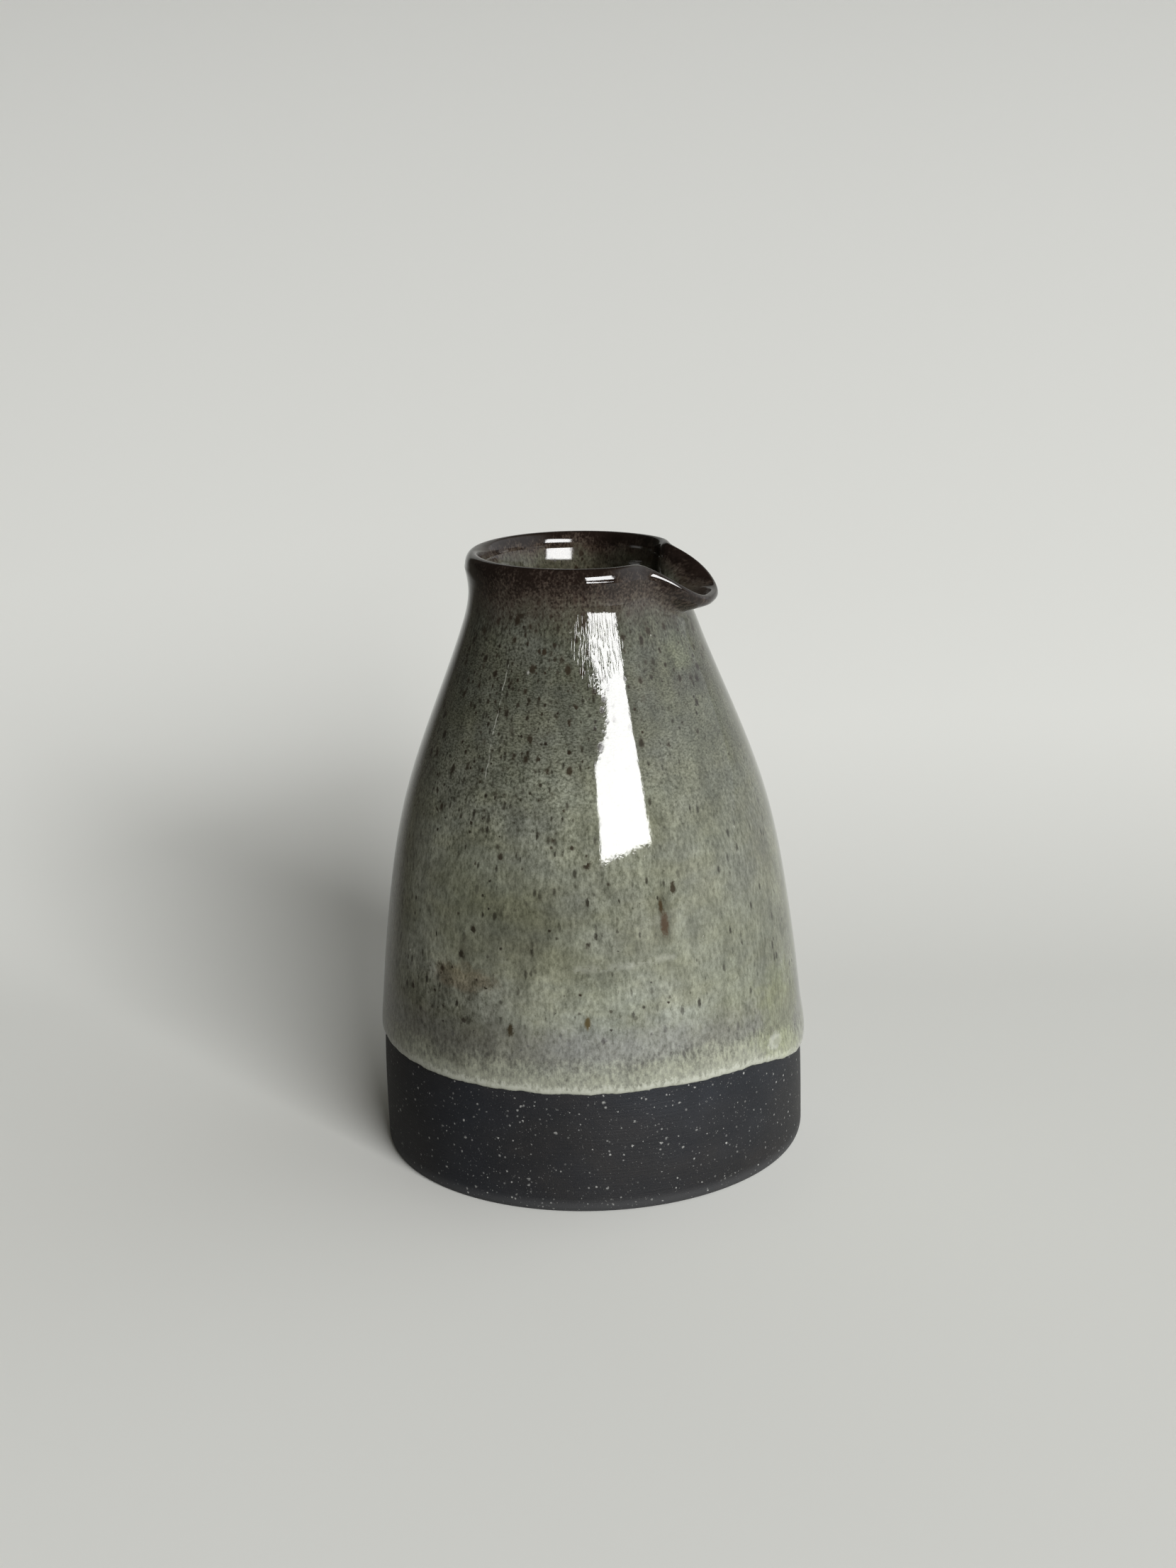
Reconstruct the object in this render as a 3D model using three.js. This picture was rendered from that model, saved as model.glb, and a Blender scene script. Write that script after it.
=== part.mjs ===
// Handleless stoneware milk jug, thrown on a wheel in dark grogged clay. The rim is pulled out into a
// pouring spout at +X. One coat of glaze lines the inside and a second one covers the outside from the rim
// down to a line above the foot, where it ends in a thick rolled edge. The clay below that line is bare.
// Millimetres, +Z up, origin at the centre of the foot on the table.
import * as THREE from "three";

// Body, outside of the bare clay. Heights are above the table, drops below the top of the rim. The radii of
// the lower stations are given as insets from the foot and those of the upper ones against the rim.
const HEIGHT = 100.3; // table to the top of the glazed rim
const FOOT_RADIUS = 35.35; // widest bare clay, just above the foot bevel
const FOOT_BEVEL_HEIGHT = 1.5;
const FOOT_BEVEL_INSET = 0.75;
const WAIST_HEIGHT = 20; // where the straight foot wall starts to lean in
const WAIST_INSET = 0.25;
const BELLY_HEIGHT = 40;
const BELLY_INSET = 2.25;
const SHOULDER_DROP = 40.3;
const SHOULDER_INSET = 6.15;
const COLLAR_DROP = 20.3;
const COLLAR_OUTSET = 3.77;
const THROAT_DROP = 12.3;
const THROAT_OUTSET = 0.74;
const NECK_DROP = 5.3; // narrowest level
const NECK_INSET = 0.56;
const RIM_RADIUS = 17.98; // outer edge of the clay rim

// Walls.
const WALL = 3.6; // at the belly
const RIM_WALL = 2.3;
const FLOOR = 5;
const FLOOR_FILLET = 9; // inside, where the wall turns into the floor
const FOOT_RING_WIDTH = 6;
const FOOT_RECESS = 0.9; // trimmed hollow under the base
const FOOT_RECESS_FILLET = 1.6;

// Glaze coats.
const GLAZE = 0.42;
const RIM_GLAZE = 0.22; // fired glaze runs thin over the rim
const LINER = 0.4;
const GLAZE_LINE_HEIGHT = 20.2;
const GLAZE_LINE_WAVE = 0.3;
const WAVES_AROUND = 3; // slow swings of the line in one turn
const RIPPLES_AROUND = 7; // smaller ones on top
const RIPPLE_SHARE = 0.6;
const NOSE_HEIGHT = 0.8; // the coat's lower edge rounds out over this height
const ROLL_EXTRA = 0.12; // the rolled edge stands this much prouder than the coat
const ROLL_MIDDLE = 1.4; // above the line
const ROLL_HALF_HEIGHT = 2.8;
const RUN_DROP = 3.7; // one thick run of glaze, below the spout
const RUN_EXTRA = 0.38;
const RUN_HALF_ANGLE = 0.36;

// Pulled spout.
const SPOUT_REACH = 5; // how far the lip stands out past the rim
const SPOUT_CURL = 2.3; // more keeps the reach closer to the lip
const SPOUT_DIP = 6.1; // how far the lip hangs below the rim
const SPOUT_HALF_ANGLE = 0.53;
const DIP_HALF_ANGLE = 0.427;
const SPOUT_FLATNESS = 3.1; // 2 is a plain bell, more makes a broader lip with steeper sides
const SPOUT_THROAT = 12.2; // height of wall that the pull draws out
const PINCH = 2.2; // the rim is pressed in on both sides of the spout
const PINCH_ANGLE = 0.565;
const PINCH_HALF_ANGLE = 0.2;
const RIM_FALL = 0.66; // the rim lies this much lower at the spout than opposite it

// Mesh fineness.
const AROUND = 60;
const CROWDING = 0.35; // share by which the columns crowd towards the spout
const FOOT_ROWS = 3;
const NOSE_LEVELS = [0.25, 0.8, 1.8]; // rows above the line that shape the rolled edge
const OUTER_ROWS = 13;
const INNER_ROWS = 12;
const FLOOR_ROWS = 4;
const FILLET_ROWS = 3;
const CROWN_ROWS = 2;
const WALL_SAMPLES = 240;
const SLOPE_STEP = 0.5;

const PLAIN_BELL = 2;
const smooth = (t) => {
  const c = THREE.MathUtils.clamp(t, 0, 1);
  return c * c * (3 - 2 * c);
};
const bump = (x, width, flatness = PLAIN_BELL) => Math.exp(-((Math.abs(x) / width) ** flatness));

const CLAY_TOP = HEIGHT - RIM_GLAZE;
const CROWN_RISE = RIM_WALL / 2; // the rim is rounded to a half circle
const RIM_HEIGHT = CLAY_TOP - CROWN_RISE;
const NECK_HEIGHT = HEIGHT - NECK_DROP;

// Outside wall from the bevel to the rim, as radius over height.
const wallCurve = new THREE.SplineCurve([
  new THREE.Vector2(FOOT_BEVEL_HEIGHT, FOOT_RADIUS),
  new THREE.Vector2(WAIST_HEIGHT, FOOT_RADIUS - WAIST_INSET),
  new THREE.Vector2(BELLY_HEIGHT, FOOT_RADIUS - BELLY_INSET),
  new THREE.Vector2(HEIGHT - SHOULDER_DROP, FOOT_RADIUS - SHOULDER_INSET),
  new THREE.Vector2(HEIGHT - COLLAR_DROP, RIM_RADIUS + COLLAR_OUTSET),
  new THREE.Vector2(HEIGHT - THROAT_DROP, RIM_RADIUS + THROAT_OUTSET),
  new THREE.Vector2(NECK_HEIGHT, RIM_RADIUS - NECK_INSET),
  new THREE.Vector2(RIM_HEIGHT, RIM_RADIUS),
]);
const wallPoints = wallCurve.getPoints(WALL_SAMPLES);

// Radius of the outside wall at a height.
function wallRadius(z) {
  const last = wallPoints.length - 1;
  if (z <= wallPoints[0].x) return wallPoints[0].y;
  if (z >= wallPoints[last].x) return wallPoints[last].y;
  const i = wallPoints.findIndex((p) => p.x >= z);
  const below = wallPoints[i - 1];
  const above = wallPoints[i];
  return THREE.MathUtils.mapLinear(z, below.x, above.x, below.y, above.y);
}

// Outward normal of the outside wall in its section plane, as (radial, up). The rim's edge faces out level.
function wallNormal(z) {
  if (z >= RIM_HEIGHT) return new THREE.Vector2(1, 0);
  const slope = (wallRadius(z + SLOPE_STEP) - wallRadius(z - SLOPE_STEP)) / (2 * SLOPE_STEP);
  return new THREE.Vector2(1, -slope).normalize();
}

// Clay thickness: the wall thins from the belly to the rim.
function clayThickness(z) {
  const share = smooth((z - BELLY_HEIGHT) / (NECK_HEIGHT - BELLY_HEIGHT));
  return THREE.MathUtils.lerp(WALL, RIM_WALL, share);
}

// A coat's thickness: full on the wall, thin on the rim.
function thinned(full, z) {
  const share = smooth((z - NECK_HEIGHT) / (CLAY_TOP - NECK_HEIGHT));
  return THREE.MathUtils.lerp(full, RIM_GLAZE, share);
}

// Height of the glaze line round the jug.
function glazeLine(angle) {
  const swing = Math.sin(WAVES_AROUND * angle) + RIPPLE_SHARE * Math.cos(RIPPLES_AROUND * angle);
  return GLAZE_LINE_HEIGHT + GLAZE_LINE_WAVE * swing - RUN_DROP * bump(angle, RUN_HALF_ANGLE);
}

// Thickness of the outside coat, rolled thick just above its line.
function coatThickness(angle, z) {
  const above = z - glazeLine(angle);
  const nose = Math.sqrt(THREE.MathUtils.clamp(above / NOSE_HEIGHT, 0, 1));
  const extra = ROLL_EXTRA + RUN_EXTRA * bump(angle, RUN_HALF_ANGLE);
  return nose * (thinned(GLAZE, z) + extra * bump(above - ROLL_MIDDLE, ROLL_HALF_HEIGHT));
}

// Moves a section point at an angle by the pull of the spout, the pinch beside it and the fall of the rim.
function place(angle, point) {
  const lift = smooth(1 - (HEIGHT - point.y) / SPOUT_THROAT);
  const forward = (1 + Math.cos(angle)) / 2;
  const out = SPOUT_REACH * bump(angle, SPOUT_HALF_ANGLE, SPOUT_FLATNESS);
  const down = SPOUT_DIP * bump(angle, DIP_HALF_ANGLE, SPOUT_FLATNESS);
  const press = PINCH * bump(Math.abs(angle) - PINCH_ANGLE, PINCH_HALF_ANGLE);
  const radius = point.x + lift ** SPOUT_CURL * out - lift * press;
  const up = point.y - lift * (down + RIM_FALL * forward);
  return new THREE.Vector3(radius * Math.cos(angle), radius * Math.sin(angle), up);
}

const ANGLES = Array.from({ length: AROUND }, (_, i) => {
  const even = (2 * Math.PI * i) / AROUND;
  const crowded = even - CROWDING * Math.sin(even);
  return Math.atan2(Math.sin(crowded), Math.cos(crowded));
});

// A ring has one placed point for each angle; section(angle) gives its point in the section plane.
const ring = (section) => ANGLES.map((angle) => place(angle, section(angle)));
const steps = (count) => Array.from({ length: count }, (_, i) => (i + 1) / count);

// Rounded rim under a coat, from the outer edge (0) over the crown (0.5) to the inner edge (1).
function crown(t, coat = 0) {
  const turn = Math.PI * t;
  const middle = RIM_RADIUS - RIM_WALL / 2;
  const x = middle + (RIM_WALL / 2 + coat) * Math.cos(turn);
  return new THREE.Vector2(x, RIM_HEIGHT + (CROWN_RISE + coat) * Math.sin(turn));
}
const crownRings = (start, coat) => steps(CROWN_ROWS).map((t) => ring(() => crown(start + t / 2, coat)));

// Outside clay between the bevel and the glaze line.
const footRings = steps(FOOT_ROWS).map((t) =>
  ring((angle) => {
    const z = THREE.MathUtils.lerp(FOOT_BEVEL_HEIGHT, glazeLine(angle), t);
    return new THREE.Vector2(wallRadius(z), z);
  }),
);
const lineRing = footRings[footRings.length - 1];

// Outside clay under the glaze, from the line to the crown of the rim.
const coveredHeight = (angle, t) => THREE.MathUtils.lerp(glazeLine(angle), RIM_HEIGHT, t);
const coveredRings = [
  ...steps(OUTER_ROWS).map((t) =>
    ring((angle) => {
      const z = coveredHeight(angle, t);
      return new THREE.Vector2(wallRadius(z), z);
    }),
  ),
  ...crownRings(0, 0),
];

// Inside from the crown of the rim down to the middle of the floor, with a coat of glaze or none.
function insideRings(coat) {
  const filletTop = FLOOR + FLOOR_FILLET;
  const insideRadius = (z) => wallRadius(z) - clayThickness(z);
  const wall = steps(INNER_ROWS).map((t) => {
    const z = THREE.MathUtils.lerp(RIM_HEIGHT, filletTop, t);
    const normal = t < 1 ? wallNormal(z) : new THREE.Vector2(1, 0);
    const thickness = coat ? thinned(coat, z) : 0;
    return new THREE.Vector2(insideRadius(z) - thickness * normal.x, z - thickness * normal.y);
  });
  const floorEdge = insideRadius(filletTop) - FLOOR_FILLET;
  const bend = FLOOR_FILLET - coat;
  const fillet = steps(FILLET_ROWS).map((t) => {
    const turn = (Math.PI / 2) * t;
    return new THREE.Vector2(floorEdge + bend * Math.cos(turn), filletTop - bend * Math.sin(turn));
  });
  const floor = steps(FLOOR_ROWS - 1).map((t) => {
    const out = 1 - (t * (FLOOR_ROWS - 1)) / FLOOR_ROWS;
    return new THREE.Vector2(floorEdge * out, FLOOR + coat);
  });
  const rings = [...wall, ...fillet, ...floor].map((p) => ring(() => p));
  return [...crownRings(1 / 2, coat ? RIM_GLAZE : 0), ...rings];
}
const clayInside = insideRings(0);
const linerFace = insideRings(LINER);

// Underside of the foot, from the middle of the recess out to the bevel.
const RING_OUTER = FOOT_RADIUS - FOOT_BEVEL_INSET;
const RING_INNER = RING_OUTER - FOOT_RING_WIDTH;
const RECESS_EDGE = RING_INNER - FOOT_RECESS_FILLET;
const underRings = [
  new THREE.Vector2(RECESS_EDGE / 2, FOOT_RECESS),
  new THREE.Vector2(RECESS_EDGE, FOOT_RECESS),
  new THREE.Vector2(RING_INNER, 0),
  new THREE.Vector2(RING_OUTER, 0),
  new THREE.Vector2(FOOT_RADIUS, FOOT_BEVEL_HEIGHT),
].map((p) => ring(() => p));

// Outer face of the outside coat, from the line up to the crown.
function coatPoint(angle, z) {
  const normal = wallNormal(z);
  const thickness = coatThickness(angle, z);
  return new THREE.Vector2(wallRadius(z) + thickness * normal.x, z + thickness * normal.y);
}
const coatRings = [
  ...NOSE_LEVELS.map((above) => ring((angle) => coatPoint(angle, glazeLine(angle) + above))),
  ...steps(OUTER_ROWS).map((t) => ring((angle) => coatPoint(angle, coveredHeight(angle, t)))),
  ...crownRings(0, RIM_GLAZE),
];

// Closes a run of rings into one solid. A start and an end point cap the run; with neither, its last ring
// joins its first. Each quad is split along its shorter diagonal, so solids that share a face split it alike.
function skin(rings, start, end) {
  const points = rings.flat();
  const index = [];
  const at = (row, column) => row * AROUND + (column % AROUND);
  const length = (a, b) => points[a].distanceToSquared(points[b]);
  const rows = start ? rings.length - 1 : rings.length;
  for (let row = 0; row < rows; row++) {
    const next = (row + 1) % rings.length;
    for (let i = 0; i < AROUND; i++) {
      const [a, b, c, d] = [at(row, i), at(row, i + 1), at(next, i + 1), at(next, i)];
      if (length(a, c) <= length(b, d)) index.push(a, b, c, a, c, d);
      else index.push(a, b, d, b, c, d);
    }
  }
  for (let i = 0; i < AROUND && start; i++) {
    const last = rings.length - 1;
    index.push(points.length, at(0, i + 1), at(0, i));
    index.push(points.length + 1, at(last, i), at(last, i + 1));
  }
  if (start) points.push(start, end);
  const geometry = new THREE.BufferGeometry().setFromPoints(points);
  geometry.setIndex(index);
  geometry.computeVertexNormals();
  return geometry;
}

const clayMaterial = new THREE.MeshStandardMaterial({ color: 0x2b2b2d, roughness: 0.85, metalness: 0 });
const glazeMaterial = new THREE.MeshStandardMaterial({ color: 0x83857a, roughness: 0.12, metalness: 0 });
const linerMaterial = new THREE.MeshStandardMaterial({ color: 0x5a5650, roughness: 0.15, metalness: 0 });

function piece(name, geometry, material) {
  const mesh = new THREE.Mesh(geometry, material);
  mesh.name = name;
  return mesh;
}

const onAxis = (z) => new THREE.Vector3(0, 0, z);
const crownTop = coveredRings[coveredRings.length - 1];
const glazedCrownTop = coatRings[coatRings.length - 1];

const clayBody = skin(
  [...underRings, ...footRings, ...coveredRings, ...clayInside],
  onAxis(FOOT_RECESS),
  onAxis(FLOOR),
);
const outerGlaze = skin([lineRing, ...coatRings, ...[...coveredRings].reverse()]);
const linerGlaze = skin(
  [...[...clayInside].reverse(), crownTop, glazedCrownTop, ...linerFace],
  onAxis(FLOOR),
  onAxis(FLOOR + LINER),
);

const jug = new THREE.Group();
jug.add(piece("stoneware_body", clayBody, clayMaterial));
jug.add(piece("outer_glaze", outerGlaze, glazeMaterial));
jug.add(piece("liner_glaze", linerGlaze, linerMaterial));

export default jug;
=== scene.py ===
"""Looks of a handleless stoneware milk jug: bare dark foot, grey-green glaze, spout pulled out of the rim.

Metres, +Z up, +X towards the spout, origin at the centre of the foot. The three shells follow one rule,
a section turned on the wheel and then pulled out into a spout, so one Geometry Nodes tree shapes them all.
"""

import logging
import math
from dataclasses import asdict, dataclass, field
from enum import Enum

import bmesh
import bpy
import numpy as np
from mathutils import Matrix, Vector


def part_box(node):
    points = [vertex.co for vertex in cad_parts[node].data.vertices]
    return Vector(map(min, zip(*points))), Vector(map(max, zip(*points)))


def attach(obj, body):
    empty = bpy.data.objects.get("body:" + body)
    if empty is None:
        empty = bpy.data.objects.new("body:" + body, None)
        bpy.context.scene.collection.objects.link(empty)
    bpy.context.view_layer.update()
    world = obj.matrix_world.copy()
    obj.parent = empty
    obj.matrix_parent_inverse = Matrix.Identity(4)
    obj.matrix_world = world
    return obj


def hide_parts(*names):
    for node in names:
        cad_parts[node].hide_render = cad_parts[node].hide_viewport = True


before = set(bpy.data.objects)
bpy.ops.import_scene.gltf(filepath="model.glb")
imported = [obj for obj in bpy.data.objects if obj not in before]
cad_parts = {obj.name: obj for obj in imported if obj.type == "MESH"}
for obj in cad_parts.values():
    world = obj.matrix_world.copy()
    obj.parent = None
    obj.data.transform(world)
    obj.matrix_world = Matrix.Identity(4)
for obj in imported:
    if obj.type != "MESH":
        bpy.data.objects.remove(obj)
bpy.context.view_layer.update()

MM = 0.001
PER_METRE = 1000.0
LOG = logging.getLogger("milk_jug")

Colour = tuple[float, float, float]
Point = tuple[float, float, float]
Socket = bpy.types.NodeSocket
# What a node's input takes, how a group's inputs are given, and a change as span() takes it after its value.
Fed = Socket | bpy.types.Node | tuple | float
Inputs = dict[str, str | float]
Fade = tuple[float, float, float, float]

GEOMETRY = "NodeSocketGeometry"
MATERIAL = "NodeSocketMaterial"
NUMBER = "NodeSocketFloat"
VECTOR = "NodeSocketVector"
HALF = (0.5, 0.5, 0.5)


class Shell(Enum):
    """The jug's pieces, by the CAD node that each one stands for."""

    CLAY = "stoneware_body"
    OUTSIDE = "outer_glaze"
    LINER = "liner_glaze"


class Slot(Enum):
    """The record's material slots."""

    CLAY = "stoneware"
    OUTSIDE = "outer_glaze"
    LINER = "liner_glaze"


class NodeSketch:
    """Places nodes in one tree and wires them with plain calls."""

    def __init__(self, tree: bpy.types.NodeTree) -> None:
        """Keeps the tree that the nodes go into."""
        self.tree = tree

    def wire(self, socket: Socket, value: Fed) -> None:
        """Feeds one input.

        Args:
            socket: the input.
            value: another node's output, or a plain value for the socket itself.
        """
        if isinstance(value, Socket):
            self.tree.links.new(value, socket)
        elif isinstance(value, bpy.types.Node):
            self.tree.links.new(value.outputs[0], socket)
        elif socket.type == "RGBA" and len(value) == 3:
            socket.default_value = (*value, 1.0)
        else:
            socket.default_value = value

    def node(self, kind: str, inputs: dict | None = None, **settings: object) -> bpy.types.Node:
        """Adds a node.

        Args:
            kind: the node's type name.
            inputs: input name or number to value or output.
            settings: the node's own properties.

        Returns:
            The new node.
        """
        made = self.tree.nodes.new(kind)
        for name, value in settings.items():
            setattr(made, name, value)
        for name, value in (inputs or {}).items():
            self.wire(made.inputs[name], value)
        return made

    def math(self, operation: str, *values: Fed, clamped: bool = False) -> Socket:
        """Adds a Math node with these values, clamped from 0 to 1 if wished, and returns its output."""
        made = self.node("ShaderNodeMath", dict(enumerate(values)), operation=operation, use_clamp=clamped)
        return made.outputs[0]

    def total(self, *values: Fed) -> Fed:
        """Adds any number of values up."""
        result = values[0]
        for value in values[1:]:
            result = self.math("ADD", result, value)
        return result

    def product(self, *values: Fed) -> Fed:
        """Multiplies any number of values."""
        result = values[0]
        for value in values[1:]:
            result = self.math("MULTIPLY", result, value)
        return result

    def swing(self, value: Fed, reach: Fed) -> Socket:
        """Turns a value from 0 to 1 into one round 0 that is as wide as reach."""
        return self.product(self.math("SUBTRACT", value, 0.5), reach)

    def bell(self, value: Fed, width: Fed, power: Fed = 2.0) -> Socket:
        """Bell curve: 1 where value is 0, falling to 1/e at a distance of width.

        Args:
            value: distance from the middle.
            width: half width.
            power: 2 for a plain bell, more for a flatter top.

        Returns:
            The curve's value.
        """
        share = self.math("ABSOLUTE", self.math("DIVIDE", value, width))
        return self.math("EXPONENT", self.math("MULTIPLY", self.math("POWER", share, power), -1.0))

    def span(self, value: Fed, low: Fed, high: Fed, start: Fed = 0.0, end: Fed = 1.0) -> Socket:
        """Smooth change from start to end while value goes from low to high.

        Args:
            value: the driving value.
            low: where the change begins.
            high: where it ends.
            start: result at low.
            end: result at high.

        Returns:
            The result.
        """
        inputs = {"Value": value, "From Min": low, "From Max": high, "To Min": start, "To Max": end}
        return self.node("ShaderNodeMapRange", inputs, interpolation_type="SMOOTHSTEP").outputs["Result"]

    def vector(self, operation: str, *values: Fed) -> Socket:
        """Adds a Vector Math node with these values and returns its output."""
        made = self.node("ShaderNodeVectorMath", dict(enumerate(values)), operation=operation)
        return made.outputs["Value" if operation in {"LENGTH", "DOT_PRODUCT"} else "Vector"]

    def scaled(self, vector: Fed, factor: Fed) -> Socket:
        """Multiplies a vector by one number."""
        inputs = {"Vector": vector, "Scale": factor}
        return self.node("ShaderNodeVectorMath", inputs, operation="SCALE").outputs[0]

    def xyz(self, x: Fed, y: Fed, z: Fed) -> Socket:
        """Joins three numbers into a vector."""
        return self.node("ShaderNodeCombineXYZ", {"X": x, "Y": y, "Z": z}).outputs[0]

    def split(self, vector: Fed) -> bpy.types.NodeOutputs:
        """A vector's numbers, as the outputs X, Y and Z."""
        return self.node("ShaderNodeSeparateXYZ", {"Vector": vector}).outputs

    def noise(
        self, vector: Fed, scale: Fed, detail: Fed = 2.0, roughness: float = 0.5, output: int = 0
    ) -> Socket:
        """Noise texture.

        Args:
            vector: where it is read.
            scale: blotches per unit.
            detail: octaves on top of the first.
            roughness: how strong the finer octaves are.
            output: 0 for one value, 1 for three of them as a colour.

        Returns:
            The noise, about 0.5 on average.
        """
        inputs = {"Vector": vector, "Scale": scale, "Detail": detail, "Roughness": roughness}
        return self.node("ShaderNodeTexNoise", inputs).outputs[output]

    def mix(self, share: Fed, first: Fed, second: Fed, blend: str = "MIX") -> Socket:
        """Mixes two colours.

        Args:
            share: 0 for first, 1 for second.
            first: colour or output.
            second: colour or output.
            blend: Blender's name of the blend.

        Returns:
            The colour.
        """
        inputs = {0: share, 6: first, 7: second}
        return self.node("ShaderNodeMix", inputs, data_type="RGBA", blend_type=blend).outputs[2]

    def relief(self, height: Fed) -> Socket:
        """The normal of a surface with this relief, in millimetres."""
        inputs = {"Height": self.product(height, MM), "Strength": 1.0, "Distance": 1.0}
        return self.node("ShaderNodeBump", inputs).outputs[0]


class NodeGroup:
    """A reusable node group with named inputs and outputs, built once."""

    NUMBERS = {int: "NodeSocketInt", float: NUMBER}

    def __init__(self, name: str, kind: str, inputs: Inputs, outputs: dict[str, str]) -> None:
        """Makes the empty group.

        Args:
            name: the group's name.
            kind: "ShaderNodeTree" or "GeometryNodeTree".
            inputs: input name to a socket type, or to the default of a number.
            outputs: output name to socket type.
        """
        self.tree = bpy.data.node_groups.new(name, kind)
        for label, given in inputs.items():
            socket_type = self.NUMBERS.get(type(given), given)
            socket = self.tree.interface.new_socket(label, in_out="INPUT", socket_type=socket_type)
            if socket_type != given:
                socket.default_value = given
        for label, socket_type in outputs.items():
            self.tree.interface.new_socket(label, in_out="OUTPUT", socket_type=socket_type)
        self.sketch = NodeSketch(self.tree)
        self.given = self.tree.nodes.new("NodeGroupInput").outputs
        self.result = self.tree.nodes.new("NodeGroupOutput").inputs

    def place(self, sketch: NodeSketch, **values: Fed) -> bpy.types.Node:
        """Puts this group into a material.

        Args:
            sketch: the material's tree.
            values: input name, with _ for a blank, to value or output.

        Returns:
            The group node.
        """
        inputs = {name.replace("_", " "): value for name, value in values.items()}
        return sketch.node("ShaderNodeGroup", inputs, node_tree=self.tree)

    def set_inputs(self, modifier: bpy.types.Modifier, values: dict[str, Fed]) -> None:
        """Sets a Geometry Nodes modifier's inputs by their sockets' identifiers."""
        for item in self.tree.interface.items_tree:
            if item.item_type == "SOCKET" and item.in_out == "INPUT" and item.name in values:
                modifier[item.identifier] = values[item.name]


def named_inputs(prefix: str, sizes: object) -> dict[str, float]:
    """A dataclass's fields as inputs of a node group, such as Spout Reach for the spout's reach."""
    return {f"{prefix} {name.replace('_', ' ').title()}": value for name, value in asdict(sizes).items()}


def rows(radius: np.ndarray, height: np.ndarray | float) -> np.ndarray:
    """Points of a section as (radius, height) rows."""
    return np.stack(np.broadcast_arrays(radius, height), axis=-1)


def smooth(share: np.ndarray) -> np.ndarray:
    """Smooth step from 0 to 1."""
    share = np.clip(share, 0, 1)
    return share * share * (3 - 2 * share)


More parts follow.
